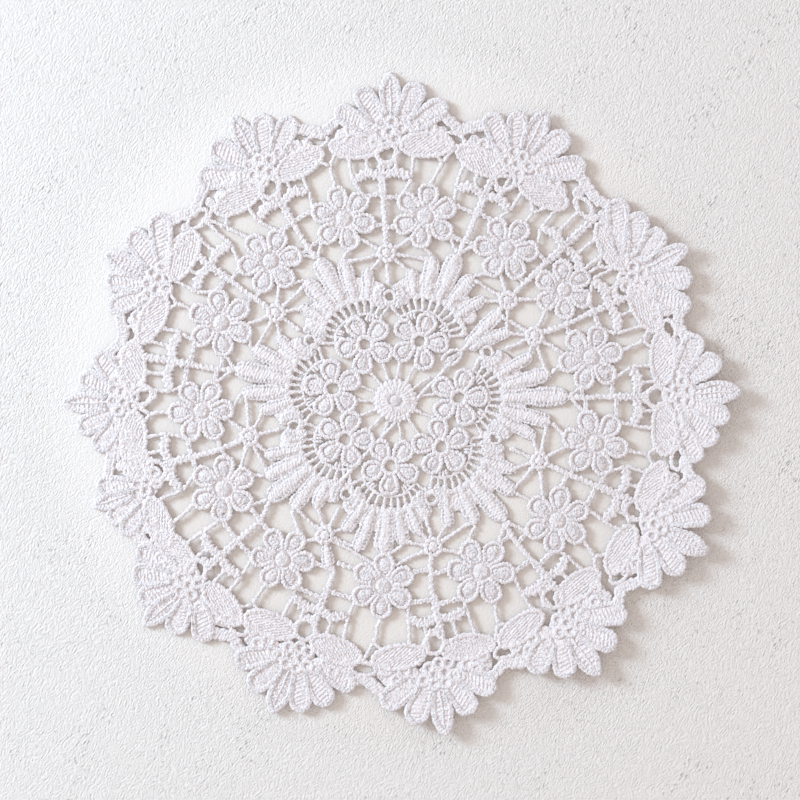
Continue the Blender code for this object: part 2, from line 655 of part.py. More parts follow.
def edge_and_gaps():
    """The mat's outer edge, and its gaps from the widest down."""
    loops = sorted(edge_loops(), key=lambda loop: abs(area(loop)), reverse=True)
    gaps = sorted((loop for loop in loops[1:] if area(loop) < 0), key=depth_of_gap, reverse=True)
    wide = [gap for gap in gaps if depth_of_gap(gap) > SMALLEST_GAP][:MOST_GAPS]
    return thinned(loops[0], EDGE_TOLERANCE), [thinned(gap, EDGE_TOLERANCE) for gap in wide]


def kept_peaks(rims):
    """The crests that lie clear of every edge and of each other."""
    edges = np.vstack([np.stack([rim, np.roll(rim, -1, axis=0)], axis=1) for rim in rims])
    start, along = edges[:, 0], edges[:, 1] - edges[:, 0]
    kept = []
    for x, y, height in peaks:
        here = np.array((x, y))
        share = ((here - start) * along).sum(axis=1) / (along**2).sum(axis=1)
        off = np.hypot(*(here - start - np.clip(share, 0, 1)[:, None] * along).T)
        clear = all(math.dist((x, y), other[:2]) > PEAK_SPACING for other in kept)
        if off.min() > PEAK_CLEARANCE and clear:
            kept.append((x, y, height))
    return kept


def sheet_faces(rims, inner_points):
    """Triangles that fill the outer rim and leave the others open: the points and their corners."""
    points, sides = [], []
    for rim in rims:
        first = len(points)
        points += [Vector(point) for point in rim]
        sides += [(first + i, first + (i + 1) % len(rim)) for i in range(len(rim))]
    points += [Vector(point[:2]) for point in inner_points]
    filled = geometry.delaunay_2d_cdt(points, sides, [], 0, 1e-4)
    made, faces = filled[0], filled[2]
    if len(made) != len(points):
        raise ValueError("two sides of the edge cross, or two points meet")
    place = [origins[0] for origins in filled[3]]
    middles = np.array([[sum(made[v][axis] for v in face) / 3 for axis in (0, 1)] for face in faces])
    lace = within(rims[0], middles[:, 0], middles[:, 1])
    for rim in rims[1:]:
        lace &= ~within(rim, middles[:, 0], middles[:, 1])
    return [[place[v] for v in face] for face, keep in zip(faces, lace) if keep]


def doily_mesh():
    """The flat underside, the top with its crests, and upright walls at the edge and round each gap."""
    edge, gaps = edge_and_gaps()
    rims = [edge] + gaps
    crests = kept_peaks(rims)
    border = [tuple(point) for rim in rims for point in rim]
    count = len(border)
    points = [(x, y, 0.0) for x, y in border] + [(x, y, NET_TOP) for x, y in border] + crests
    faces = [face[::-1] for face in sheet_faces(rims, [])]
    for face in sheet_faces(rims, crests):
        faces.append([v + count for v in face])
    first = 0
    for rim in rims:
        for i in range(len(rim)):
            here, after = first + i, first + (i + 1) % len(rim)
            faces.append((here, after, after + count, here + count))
        first += len(rim)
    mesh = bpy.data.meshes.new(OBJECT_NAME)
    mesh.from_pydata([tuple(METRES * c for c in point) for point in points], [], faces)
    mesh.validate()
    mesh.update()
    print(f"{len(gaps)} gaps, {count} edge points, {len(crests)} crests")
    return mesh


def cotton():
    """White cotton thread: matt, with a faint cool tint."""
    material = bpy.data.materials.new("white_cotton")
    material.use_nodes = True
    shader = material.node_tree.nodes["Principled BSDF"]
    shader.inputs["Base Color"].default_value = (0.80, 0.79, 0.83, 1.0)
    shader.inputs["Roughness"].default_value = 0.85
    shader.inputs["Metallic"].default_value = 0.0
    return material


for existing in list(bpy.data.objects):
    bpy.data.objects.remove(existing)
draw_plan()
doily = bpy.data.objects.new(OBJECT_NAME, doily_mesh())
doily.data.materials.append(cotton())
collection = bpy.data.collections.new(OBJECT_NAME)
bpy.context.scene.collection.children.link(collection)
collection.objects.link(doily)
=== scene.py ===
# %% [markdown]
# # A round lace doily, dressed ring by ring
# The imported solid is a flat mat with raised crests. Real machine lace is hundreds of sewn cords, so
# here each motif is built again from cords and moulded bands that follow the same plan. Everything is
# worked out in millimetres on the plan, and is turned into metres when a mesh is made.

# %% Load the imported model
import math

import bpy
import numpy as np
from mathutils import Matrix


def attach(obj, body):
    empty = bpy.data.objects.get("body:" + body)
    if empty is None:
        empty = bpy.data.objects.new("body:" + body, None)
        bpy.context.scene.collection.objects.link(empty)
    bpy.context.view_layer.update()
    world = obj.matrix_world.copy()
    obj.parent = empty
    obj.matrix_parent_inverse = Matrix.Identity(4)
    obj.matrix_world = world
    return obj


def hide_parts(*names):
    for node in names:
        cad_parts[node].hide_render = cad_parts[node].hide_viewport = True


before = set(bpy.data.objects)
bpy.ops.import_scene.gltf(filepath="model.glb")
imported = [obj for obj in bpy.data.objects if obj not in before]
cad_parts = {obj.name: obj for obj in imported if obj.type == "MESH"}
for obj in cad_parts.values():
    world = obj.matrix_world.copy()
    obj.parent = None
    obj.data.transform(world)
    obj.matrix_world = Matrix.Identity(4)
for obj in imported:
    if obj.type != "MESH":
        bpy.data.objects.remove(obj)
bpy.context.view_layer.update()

# %% [markdown]
# ## One frame for every motif
# Every motif of the lace sits somewhere on a ring round the rosette and points outward. A local frame
# lets a motif be drawn once, as points sideways and outward, and put down wherever it repeats. Turning
# the frame about its own spot makes the petals of a flower.

# %% The local frame
ROSETTE_AT = np.array((-2.3, 1.0))


def place_on(angle, radius=0.0, turn=0.0):
    """Takes points (sideways, outward) to the plan. The spot lies at an angle clockwise from +Y and a
    radius from the rosette; the points are turned by the same angle and a further turn."""
    a, t = np.radians(angle), np.radians(angle + turn)
    spot = ROSETTE_AT + radius * np.array((np.sin(a), np.cos(a)))
    axes = np.array(((np.cos(t), -np.sin(t)), (np.sin(t), np.cos(t))))
    return lambda points: spot + np.asarray(points, float) @ axes


def between(start, end, share):
    """The point a share of the way from start to end."""
    return np.asarray(start, float) + share * (np.asarray(end, float) - np.asarray(start, float))


print("the rosette's middle is", place_on(0)((0, 0)))

# %% [markdown]
# ## Smooth lines
# A cord needs a centreline. A few charted points are joined by cubic arcs that pass through each of
# them, which is how a thread bends, and the line is cut at even lengths so that stitches keep their size.

# %% Smooth lines through points


def evenly(line, step, loop=False):
    """The line cut into equal lengths of about a step: lengths are added up along it, and the points
    that lie at equal shares of the sum are found by straight interpolation."""
    length = np.append(0, np.cumsum(np.hypot(*np.diff(line, axis=0).T)))
    count = max(int(round(length[-1] / step)), 3)
    at = np.linspace(0, length[-1], count + 1)
    cut = np.stack([np.interp(at, length, axis) for axis in line.T], axis=1)
    return cut[:-1] if loop else cut


def curve(points, step=0.6):
    """A smooth line: between two points it is the cubic that leaves and arrives along the lines that
    join their neighbours (Catmull-Rom)."""
    points = np.asarray(points, float)
    padded = np.vstack([2 * points[0] - points[1], points, 2 * points[-1] - points[-2]])
    a, b, c, d = (padded[i:len(padded) - 3 + i, None] for i in range(4))
    t = np.linspace(0, 1, 10, endpoint=False)[:, None]
    spans = b + t / 2 * (c - a) + t**2 / 2 * (2 * a - 5 * b + 4 * c - d) + t**3 / 2 * (3 * b - a - 3 * c + d)
    return evenly(np.vstack([spans.reshape(-1, 2), padded[-2]]), step)


def straight(start, end, step=0.6):
    """A straight line cut at even lengths."""
    return evenly(np.array((start, end), float), step)


def arc(at, radius, first, last, step=0.7):
    """Part of a circle in a local frame, from one angle to another, clockwise from outward."""
    count = max(int(abs(math.radians(last - first)) * radius / step), 3)
    a = np.radians(np.linspace(first, last, count + 1))
    return at(np.stack([radius * np.sin(a), radius * np.cos(a)], axis=1))


def circle(at, radius, count, middle=(0, 0)):
    """A whole circle in a local frame, without its last point, for a closed cord."""
    a = np.arange(count) * 2 * np.pi / count
    return at(np.stack([middle[0] + radius * np.sin(a), middle[1] + radius * np.cos(a)], axis=1))


print("a sample line has", len(curve([(0, 0), (4, 3), (8, 0)])), "points")

# %% [markdown]
# ## Skins, cords and bands
# A cord could be a curve with a bevel, but then its twist could not be shaped and its ends would stay
# flat. Here a profile is carried along the line instead. Each step of the line gives one ring of points,
# and the rings are joined into a closed skin. The same skin serves a round cord, a moulded leaf and a
# button that is turned round its middle.

# %% A closed skin over rings of points


def skin(rings, uv, loop=False):
    """Joins each ring to the next with four-sided faces. The first and last ring are filled across in
    strips, or joined to each other where the skin is a loop. The stored uv is in millimetres along and
    round, one more row or column than the rings where they close, so that no stitch is squeezed."""
    k, n = rings.shape[:2]
    i = np.arange(k if loop else k - 1)[:, None]
    j = np.arange(n)[None]
    ahead, aside = (i + 1) % k, (j + 1) % n
    quads = np.stack([i * n + j, i * n + aside, ahead * n + aside, ahead * n + j], axis=2).reshape(-1, 4)
    corners = np.stack([uv[i, j], uv[i, j + 1], uv[i + 1, j + 1], uv[i + 1, j]], axis=2).reshape(-1, 4, 2)
    if not loop:
        m = np.arange(n // 2 - 1)
        cap = np.stack([m, m + 1, n - 2 - m, n - 1 - m], axis=1)
        quads = np.vstack([quads, cap[:, ::-1], cap + (k - 1) * n])
        corners = np.vstack([corners, uv[0][cap[:, ::-1]], uv[k - 1][cap]])
    points = rings.reshape(-1, 3)
    p = points[quads]
    volume = np.einsum("ij,ij->", p[:, 0], np.cross(p[:, 1], p[:, 2]) + np.cross(p[:, 2], p[:, 3]))
    if volume < 0:
        quads, corners = quads[:, ::-1], corners[:, ::-1]
    return points, quads, corners


def sides_of(line, loop):
    """The unit direction across a line at each of its points, and the length to each point."""
    if loop:
        along = np.roll(line, -1, axis=0) - np.roll(line, 1, axis=0)
        steps = np.hypot(*(np.roll(line, -1, axis=0) - line).T)
        lengths = np.append(0, np.cumsum(steps))
    else:
        along = np.gradient(line, axis=0)
        lengths = np.append(0, np.cumsum(np.hypot(*np.diff(line, axis=0).T)))
    along /= np.hypot(*along.T)[:, None]
    return np.stack([along[:, 1], -along[:, 0]], axis=1), lengths


def spread(values, share):
    """One number, or numbers that are spread evenly along a line, at each share of its length."""
    values = np.atleast_1d(values)
    return np.interp(share, np.linspace(0, 1, len(values)), values)


def rounded(lengths, half, least=0.25):
    """How wide a cord is near its round ends: the height of a circle of its own half width."""
    reach = np.clip(np.minimum(lengths, lengths[-1] - lengths) / half, 0, 1)
    return np.sqrt(np.clip(1 - (1 - reach)**2, least**2, 1))


LOW = 0.15


def cord(line, half, top, loop=False, twist=0.10, pitch=1.8, sides=8):
    """An oval profile carried along a line, from LOW up to a top. At length s and angle a round the
    profile, the point lies half * r * cos(a) aside and (top - LOW) / 2 * r * sin(a) above the middle, and
    the radius r = 1 + twist * sin(2 pi s / pitch + a) swells along a screw line, as plied thread does."""
    across, lengths = sides_of(line, loop)
    s = lengths[:-1] if loop else lengths
    half = spread(half, s / lengths[-1])
    top = spread(top, s / lengths[-1])
    if loop:
        pitch = lengths[-1] / max(round(lengths[-1] / pitch), 1)
    ends = 1.0 if loop else rounded(s, half)
    a = (np.arange(sides) + 0.5) * 2 * np.pi / sides
    r = (1 + twist * np.sin(2 * np.pi * s[:, None] / pitch + a)) * np.broadcast_to(ends, s.shape)[:, None]
    aside = half[:, None] * r * np.cos(a)
    up = (top + LOW)[:, None] / 2 + (top - LOW)[:, None] / 2 * r * np.sin(a)
    rings = np.dstack([line[:, None] + across[:, None] * aside[..., None], up])
    u = lengths if loop else s
    round_it = np.arange(sides + 1) * 2 * np.pi / sides * half.mean()
    return skin(rings, np.stack(np.meshgrid(u, round_it, indexing="ij"), axis=2), loop)


def band(line, half, top, ridges, groove=0.4, stitch=0.0, pitch=1.2, slant=0.0, scallop=0.0,
         scallop_pitch=3.0, pits=0.0, bend=1.0, cells=12):
    """A moulded band carried along a line. Across it, x runs from -1 to 1 and its height is the arch, the
    square root of 1 - x^4, less grooves of a cosine that makes the ridges, and times a sine along the
    length for the stitches, which lean away from the middle. A bend above 1 moves the grooves toward the
    edges. Pits break the grooves into rows of small holes. Its underside is flat."""
    across, s = sides_of(line, False)
    half = spread(half, s / s[-1])
    ends = rounded(s, half, 0.3)
    x = np.sin(np.linspace(-1, 1, cells + 1) * np.pi / 2)
    wave = np.sin(2 * np.pi * (s[:, None] + slant * np.abs(x) * half[:, None]) / pitch + 2 * np.sign(x))
    valley = groove * (0.5 + 0.5 * np.cos(np.pi * ridges * (np.sign(x) * np.abs(x)**bend + 1)))**2
    arch = (1 - x**4)**0.5 * (1 - valley * (1 - pits * (0.5 + 0.5 * wave)))
    height = (top - LOW) * arch * (1 + stitch * wave) * (0.35 + 0.65 * ends[:, None])
    edge = half * ends * (1 + scallop * np.sin(2 * np.pi * s / scallop_pitch))
    aside = edge[:, None] * x
    above = np.dstack([line[:, None] + across[:, None] * aside[..., None], LOW + height])
    under = above[:, -2:0:-2] * (1, 1, 0) + (0, 0, LOW)
    rings = np.concatenate([above, under], axis=1)
    rings = rings[:, :rings.shape[1] // 2 * 2]
    v = np.linspace(0, 2 * cells, rings.shape[1] + 1) / cells * half.mean()
    return skin(rings, np.stack(np.meshgrid(s, v, indexing="ij"), axis=2))


def underlay(line, half, top):
    """The low ground of stitches under a motif: a plain band with long steps."""
    return band(line, half, top, ridges=1, groove=0.0, cells=6)


def turned(at, profile, count, ribs, rib, scallop=0.0, loop=False):
    """A profile of (radius, height, share of rib) turned round a spot. At angle a the radius grows by
    scallop * cos(ribs * a) and the height by rib * cos(ribs * a), each times the share."""
    radius, height, share = np.array(profile, float).T
    a = np.arange(count) * 2 * np.pi / count
    wave = share[:, None] * np.cos(ribs * a)
    r = radius[:, None] + scallop * wave
    flat = at(np.dstack([r * np.sin(a), r * np.cos(a)]))
    rings = np.dstack([flat, height[:, None] + rib * wave])
    rows = np.arange(len(radius) + loop) * 0.5
    v = np.arange(count + 1) * 2 * np.pi / count * radius.max()
    return skin(rings, np.stack(np.meshgrid(rows, v, indexing="ij"), axis=2), loop)


print("a short cord has", len(cord(straight((0, 0), (8, 0)), 0.7, 1.5)[1]), "faces")

# %% [markdown]
# ## Lying on the table
# A starched doily is never quite flat. It touches the table in some places and stands a little off it
# in others, most along its right side, and that lift is what throws the soft shadow there. One smooth
# function gives the lift anywhere on the plan, so that neighbouring rings stay joined.

# %% The lift of the lace


def lift(x, y):
    """Low in the middle, and rising in two smooth steps: a slight one into the open net and a steeper one
    into the border, which curls up most where the cosine of the bearing from 108 degrees is positive."""
    radius = np.hypot(x - ROSETTE_AT[0], y - ROSETTE_AT[1]) / 150
    bearing = np.arctan2(x - ROSETTE_AT[0], y - ROSETTE_AT[1])
    facing = np.cos(bearing - math.radians(108))
    net = np.clip((radius - 0.35) / 0.3, 0, 1)
    rim = np.clip((radius - 0.77) / 0.25, 0, 1)
    net, rim = net**2 * (3 - 2 * net), rim**2 * (3 - 2 * rim)
    rise = 0.4 * net + rim * (4.0 * np.clip(facing + 0.4, 0, 1.1) - 0.9 * np.clip(-facing, 0, 1))
    swell = 0.3 * np.sin(x / 31 + 1.1) * np.sin(y / 37 - 0.4) + 0.3 * np.sin(5 * bearing + 0.8) * radius**2
    return np.clip(0.8 + rise + swell, 0.0, None)


print("lift at left, middle and right:", [round(float(lift(x, 0.0)), 2) for x in (-150.0, 0.0, 150.0)], "mm")

# %% The hand of the work


def wander(points, size, amount):
    """Moves points by three smooth fields. Each is a sum of a dozen plane waves about a size long, in
    directions and phases drawn once, and strays by the amount on average."""
    draw = np.random.default_rng(int(size * 10))
    moved = []
    for _ in range(3):
        direction = draw.normal(size=(12, 3))
        number = 2 * np.pi / (size * draw.uniform(0.75, 1.5, (12, 1)))
        waves = direction / np.linalg.norm(direction, axis=1, keepdims=True) * number
        field = np.sin(points @ waves.T + draw.uniform(0, 2 * np.pi, 12)).sum(axis=1)
        moved.append(field * amount / math.sqrt(6))
    return points + np.stack(moved, axis=1)


print("a point at the origin strays by", wander(np.zeros((1, 3)), 2.1, 0.14)[0].round(2), "mm")

# %% From skins to a piece
MM = 0.001
LUMPS = ((2.1, 0.14), (7.0, 0.12))  # length and depth of the unevenness, of the threads and of the motifs
RELIEF = 0.57                       # the finished lace is pressed flatter than its cords were sewn
LEAST_HEIGHT = 0.02


def make_piece(name, skins, finish):
    """Puts all the skins of a ring into one mesh, lifted off the table and in metres."""
    firsts = np.cumsum([0] + [len(one[0]) for one in skins])
    points = np.vstack([one[0] for one in skins])
    quads = np.vstack([one[1] + first for one, first in zip(skins, firsts)])
    corners = np.vstack([one[2] for one in skins])
    for size, amount in LUMPS:
        points = wander(points, size, amount)
    points[:, 2] = np.maximum(RELIEF * points[:, 2], LEAST_HEIGHT) + lift(points[:, 0], points[:, 1])
    mesh = bpy.data.meshes.new(name)
    mesh.vertices.add(len(points))
    mesh.loops.add(quads.size)
    mesh.polygons.add(len(quads))
    mesh.vertices.foreach_set("co", (points * MM).ravel())
    mesh.loops.foreach_set("vertex_index", quads.ravel().astype(np.int32))
    mesh.polygons.foreach_set("loop_start", np.arange(0, quads.size, 4, dtype=np.int32))
    mesh.polygons.foreach_set("use_smooth", np.ones(len(quads), bool))
    mesh.uv_layers.new(name="thread").data.foreach_set("uv", corners.ravel())
    mesh.update(calc_edges=True)
    mesh.validate()
    piece = bpy.data.objects.new(name, mesh)
    bpy.context.scene.collection.objects.link(piece)
    piece.data.materials.append(finish)
    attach(piece, "root")
    print(name, "has", 2 * len(quads), "triangles")
    return piece


print("the unevenness adds up to about", sum(amount for _, amount in LUMPS), "mm")


# %% [markdown]
# ## White cotton
# Seen close, the cords are wrapped in fine stitches. The stitches repeat at about a millimetre, so they
# are drawn by the material from the length along each cord, which the meshes store as uv. A node group
# holds the pattern once, and each finish uses it with its own pitch and lean.

# %% The stitch pattern


def new_group(name, inputs, outputs):
    """An empty shader node group with named float inputs and outputs."""
    tree = bpy.data.node_groups.new(name, "ShaderNodeTree")
    for label, kind, value in inputs:
        socket = tree.interface.new_socket(label, in_out="INPUT", socket_type=kind)
        if value is not None:
            socket.default_value = value
    for label in outputs:
        tree.interface.new_socket(label, in_out="OUTPUT", socket_type="NodeSocketFloat")
    return tree, tree.nodes.new("NodeGroupInput"), tree.nodes.new("NodeGroupOutput")


def add_math(tree, operation, *values):
    """A Math node fed by sockets or plain numbers; returns its output."""
    node = tree.nodes.new("ShaderNodeMath")
    node.operation = operation
    for slot, value in zip(node.inputs, values):
        if isinstance(value, (int, float)):
            slot.default_value = value
        else:
            tree.links.new(value, slot)
    return node.outputs[0]


def stitch_group():
    """Height = a rounded sine of (along + lean * round) / pitch, pushed about by noise, plus round grains
    the size of a knot. Shade = how far a point stands out of both, with fuzz; it drives painted shade."""
    tree, given, out = new_group(
        "cotton_stitches",
        [("Thread", "NodeSocketVector", None), ("Place", "NodeSocketVector", None),
         ("Pitch", "NodeSocketFloat", 1.0), ("Lean", "NodeSocketFloat", 0.6),
         ("Wander", "NodeSocketFloat", 0.8), ("Knots", "NodeSocketFloat", 1.0)],
        ["Height", "Shade"])
    split = tree.nodes.new("ShaderNodeSeparateXYZ")
    tree.links.new(given.outputs["Thread"], split.inputs[0])
    wool, fuzz = tree.nodes.new("ShaderNodeTexNoise"), tree.nodes.new("ShaderNodeTexNoise")
    grain = tree.nodes.new("ShaderNodeTexVoronoi")
    grain.feature = "SMOOTH_F1"
    grain.inputs["Smoothness"].default_value = 0.35
    for noise, scale, detail in ((wool, 620.0, 3.0), (fuzz, 1900.0, 3.0), (grain, 880.0, None)):
        noise.inputs["Scale"].default_value = scale
        if detail:
            noise.inputs["Detail"].default_value = detail
        tree.links.new(given.outputs["Place"], noise.inputs["Vector"])
    leaned = add_math(tree, "MULTIPLY_ADD", split.outputs[1], given.outputs["Lean"], split.outputs[0])
    turns = add_math(tree, "DIVIDE", leaned, given.outputs["Pitch"])
    strayed = add_math(tree, "MULTIPLY_ADD", wool.outputs[0], given.outputs["Wander"], turns)
    wave = add_math(tree, "SINE", add_math(tree, "MULTIPLY", strayed, 2 * math.pi))
    stitch = add_math(tree, "MULTIPLY_ADD", wave, 0.5, 0.5)
    knot_height = add_math(tree, "MULTIPLY_ADD", grain.outputs["Distance"], -1.5, 1.0)
    knots = add_math(tree, "MULTIPLY", knot_height, given.outputs["Knots"])
    raised = add_math(tree, "MULTIPLY_ADD", stitch, 0.55, knots)
    tree.links.new(add_math(tree, "MULTIPLY_ADD", fuzz.outputs[0], 0.8, raised), out.inputs["Height"])
    # painted shade: the stitch part colours the thread darker where it lies low; the fuzz part varies at
    # random
    fuzz_and_stitch_shade = add_math(tree, "MULTIPLY_ADD", fuzz.outputs[0], 0.35, add_math(tree, "MULTIPLY", stitch, 0.2))
    tree.links.new(add_math(tree, "MULTIPLY_ADD", knot_height, 0.6, fuzz_and_stitch_shade), out.inputs["Shade"])
    return tree


COTTON_STITCHES = stitch_group()


def cotton(name, pitch, lean, depth):
    """White cotton thread, painted pale lilac as shade where it lies low between the stitches and knots, and
    nearly white on top of them; the fuzz varies it at random.
    """
    finish = bpy.data.materials.new(name)
    finish.use_nodes = True
    tree = finish.node_tree
    shader = tree.nodes["Principled BSDF"]
    where = tree.nodes.new("ShaderNodeTexCoord")
    thread = tree.nodes.new("ShaderNodeUVMap")
    thread.uv_map = "thread"
    stitches = tree.nodes.new("ShaderNodeGroup")
    stitches.node_tree = COTTON_STITCHES
    stitches.inputs["Pitch"].default_value = pitch
    stitches.inputs["Lean"].default_value = lean
    tree.links.new(thread.outputs[0], stitches.inputs["Thread"])
    tree.links.new(where.outputs["Object"], stitches.inputs["Place"])
    # painted shade: the Shade output colours the cotton darker lilac between stitches and knots, with random
    # fuzz
    shade_and_fuzz_ramp = tree.nodes.new("ShaderNodeValToRGB")
    shade_and_fuzz_ramp.color_ramp.elements[0].position = 0.22
    shade_and_fuzz_ramp.color_ramp.elements[0].color = (0.775, 0.724, 0.744, 1)
    shade_and_fuzz_ramp.color_ramp.elements[1].position = 0.66
    shade_and_fuzz_ramp.color_ramp.elements[1].color = (0.87, 0.822, 0.832, 1)
    tree.links.new(stitches.outputs["Shade"], shade_and_fuzz_ramp.inputs[0])
    tree.links.new(shade_and_fuzz_ramp.outputs[0], shader.inputs["Base Color"])
    bump = tree.nodes.new("ShaderNodeBump")
    bump.inputs["Strength"].default_value = 0.65
    bump.inputs["Distance"].default_value = depth * MM
    tree.links.new(stitches.outputs["Height"], bump.inputs["Height"])
    tree.links.new(bump.outputs[0], shader.inputs["Normal"])
    shader.inputs["Roughness"].default_value = 0.85
    shader.inputs["Sheen Weight"].default_value = 0.2
    shader.inputs["Specular IOR Level"].default_value = 0.25
    return finish


PLIED = cotton("plied_cotton", 1.3, 0.7, 0.40)
SATIN = cotton("satin_stitched_cotton", 1.35, 0.8, 0.42)
print("made", [m.name for m in (PLIED, SATIN)])

# %% [markdown]
# ## The rosette
# The lace grows from a small wheel: a button in a groove, two rounds of radial satin stitches, and
# spokes that run to the flowers. A turned profile gives the rounds, and ribs on it give the stitches.

# %% Rosette and spokes
SPOKES = (5, 29, 55, 80, 114.5, 145.5, 172, 200.5, 222, 247, 270.5, 292.5, 318, 340.5)
ROSETTE_PROFILE = (
    # radius, height, share of rib
    (0.3, 0.2, 0), (6.0, 0.2, 0), (9.0, 0.3, 0.5), (9.7, 0.7, 1), (9.4, 1.4, 1), (8.7, 1.9, 1), (7.9, 2.1, 1),
    (7.2, 2.0, 0.8), (6.9, 1.9, 0.5), (6.5, 2.2, 0.8), (5.6, 2.4, 1), (4.7, 2.4, 0.8), (4.0, 2.5, 0.3),
    (3.4, 2.3, 0), (2.9, 1.5, 0), (2.5, 1.3, 0), (2.2, 1.9, 0), (1.6, 2.5, 0), (0.9, 2.75, 0), (0.3, 2.8, 0),
)


def rosette():
    """The turned button with its rounds, and a cord on each spoke, wider at both ends."""
    at = place_on(0)
    made = [turned(at, ROSETTE_PROFILE, 130, ribs=26, rib=0.22, scallop=0.35)]
    for angle in SPOKES:
        line = straight(*place_on(angle)([(0, 9.0), (0, 18.6)]))
        made.append(cord(line, [0.95, 0.68, 0.62, 0.68, 1.1], 1.4))
    return made


rosette_piece = make_piece("rosette", rosette(), PLIED)

# %% [markdown]
# ## Looped petals
# Both kinds of flower are made of looped cords. A loop runs out from the middle, round the petal's tip
# and back, and a padded core lies inside it with a dark groove between. The same function serves both
# sizes, with its own outline for each.

# %% Petals


def petal(at, outline, rim, top, core, core_half, core_top, ridges):
    """A loop of cord through the outline and its mirror image, and inside it a ridged core along its axis.
    The core is given by where it starts and ends, and by how far the axis bows aside between them."""
    left = [(-u, v) for u, v in outline]
    right = list(outline[:-1])[::-1]
    loop = cord(curve(at(left + right), 0.52), rim, top, twist=0.2, pitch=1.6, sides=8)
    t = np.array((0, 0.3, 0.7, 1))
    axis = curve(at(np.stack([4 * core[2] * t * (1 - t), core[0] + (core[1] - core[0]) * t], axis=1)), 0.55)
    return [loop, band(axis, core_half, core_top, ridges, 0.5, stitch=0.12, pitch=1.5, pits=0.6, cells=8)]


sample = petal(place_on(0), ((1, 3), (3, 7), (0, 12)), 1.0, 2.3, (4, 11, 0), 1.5, 2.1, 2)
print("a petal's loop and core have", [len(one[1]) for one in sample], "faces")

# %% Small flowers
SMALL_FLOWERS = (
    # angle, radius
    (21.8, 28.4), (87.3, 28.1), (135.6, 28.9), (184.6, 29.1), (232.5, 28.5), (280.7, 28.4), (331.5, 28.5),
)
SMALL_PETAL = ((1.45, 3.9), (2.9, 6.0), (3.7, 8.3), (3.65, 10.2), (2.3, 11.9), (0, 12.45))
EYE_PROFILE = (
    (2.45, 0.5, 0), (2.45, 1.3, 0), (2.75, 1.8, 0.5), (3.2, 2.0, 1), (3.8, 2.0, 1), (4.4, 1.6, 1),
    (4.7, 0.9, 0.5), (4.4, 0.2, 0), (2.8, 0.2, 0),
)
SMALL_GROUND = (1.2, 2.2, 3.0, 3.3, 2.8)


def small_flower(angle, radius):
    """A ribbed ring and five petals at 72 degrees from each other, each over a low ground. The outward
    petal has a slim core; the cores of the others are wider and bow aside in turn."""
    made = [turned(place_on(angle, radius), EYE_PROFILE, 60, ribs=15, rib=0.15, loop=True)]
    for i in range(5):
        at = place_on(angle, radius, 72 * i)
        if i == 0:
            made += petal(at, SMALL_PETAL, 1.0, 2.3, (4.3, 11.6, 0), (0.8, 1.2, 1.4, 1.2, 0.9), 2.1, 2)
        else:
            bow = 0.4 if i % 2 else -0.4
            made += petal(at, SMALL_PETAL, 1.02, 2.4, (4.7, 11.2, bow), (1.2, 1.9, 2.3, 2.2, 1.5), 2.3, 2)
        made.append(underlay(straight(*at([(0, 3.6), (0, 11.8)]), 1.4), SMALL_GROUND, 1.35))
    return made


small_flowers = make_piece("small_flowers", sum((small_flower(*row) for row in SMALL_FLOWERS), []), SATIN)

# %% [markdown]
# ## Ladders
# Outside each small flower an arch of short bars joins it to the fan. On real lace these are wrapped
# bars over a drawn net. Each is one short cord between two arched cords.

# %% Ladder arches
LADDER_RUNGS = np.linspace(-60, 60, 12)
INNER_RUNGS = (-47, -40, -33, 33, 40, 47)


def ladder(angle, radius):
    """Two cords on circles round the flower, rungs from one to the other that widen outward, and on each
    side three short rungs from the inner cord to the flower."""
    at = place_on(angle, radius)
    made = [cord(arc(at, 13.5, -66, 66), 0.72, 1.35, twist=0.3, pitch=2.0),
            cord(arc(at, 20.4, -62, 62), 1.5, 1.8, twist=0.28, pitch=2.6)]
    for turn in LADDER_RUNGS:
        spot = place_on(angle, radius, turn)
        made.append(cord(straight(*spot([(0, 13.2), (0, 20.2)]), 0.8), (0.85, 0.75, 0.8, 1.05, 1.35),
                         (1.3, 1.4, 1.9), twist=0.18, sides=6))
    for turn in INNER_RUNGS:
        spot = place_on(angle, radius, turn)
        made.append(cord(straight(*spot([(0, 10.0), (0, 13.6)]), 0.9), (0.8, 0.65, 0.8), 1.6, sides=6))
    return made


ladders = make_piece("ladder_arches", sum((ladder(*row) for row in SMALL_FLOWERS), []), PLIED)

# %% [markdown]
# ## Fans
# From every ladder five long leaves spread like fingers. Each is a flat band of stitches with a vein,
# so it is a moulded band: a profile of ridges carried from root to tip, narrowing at the root and
# rounded at the tip, with stitches that lean away from the vein.

# %% Fans of leaves
FAN_HALF_WIDTHS = (2.9, 3.5, 4.3, 3.5, 2.9)
FANS = (
    # angle, then the tip of each leaf from left to right: sideways, outward from the rosette
    (23.0, (-17.0, 57.0), (-10.0, 66.0), (0.0, 71.0), (10.0, 65.0), (18.5, 57.5)),
    (88.0, (-18.0, 61.5), (-10.0, 69.5), (0.8, 77.0), (12.0, 69.0), (18.5, 62.0)),
    (137.0, (-18.0, 59.5), (-10.8, 66.5), (0.8, 72.5), (11.5, 64.5), (21.5, 57.5)),
    (185.5, (-16.5, 58.5), (-9.5, 64.0), (-1.0, 69.0), (11.0, 68.8), (17.5, 60.5)),
    (232.0, (-16.0, 58.0), (-9.8, 66.5), (0.4, 72.0), (9.3, 66.8), (16.5, 61.0)),
    (281.0, (-16.3, 58.8), (-10.0, 67.8), (0.4, 73.5), (10.6, 67.3), (18.0, 57.8)),
    (331.0, (-16.8, 58.0), (-9.6, 66.5), (0.4, 72.5), (10.0, 66.8), (18.0, 58.0)),
)
FILLER_AT = (52.5, 31.5)
FILLER_LEAVES = ((49.6, 61.5, 3.2), (58.4, 59.8, 3.0))


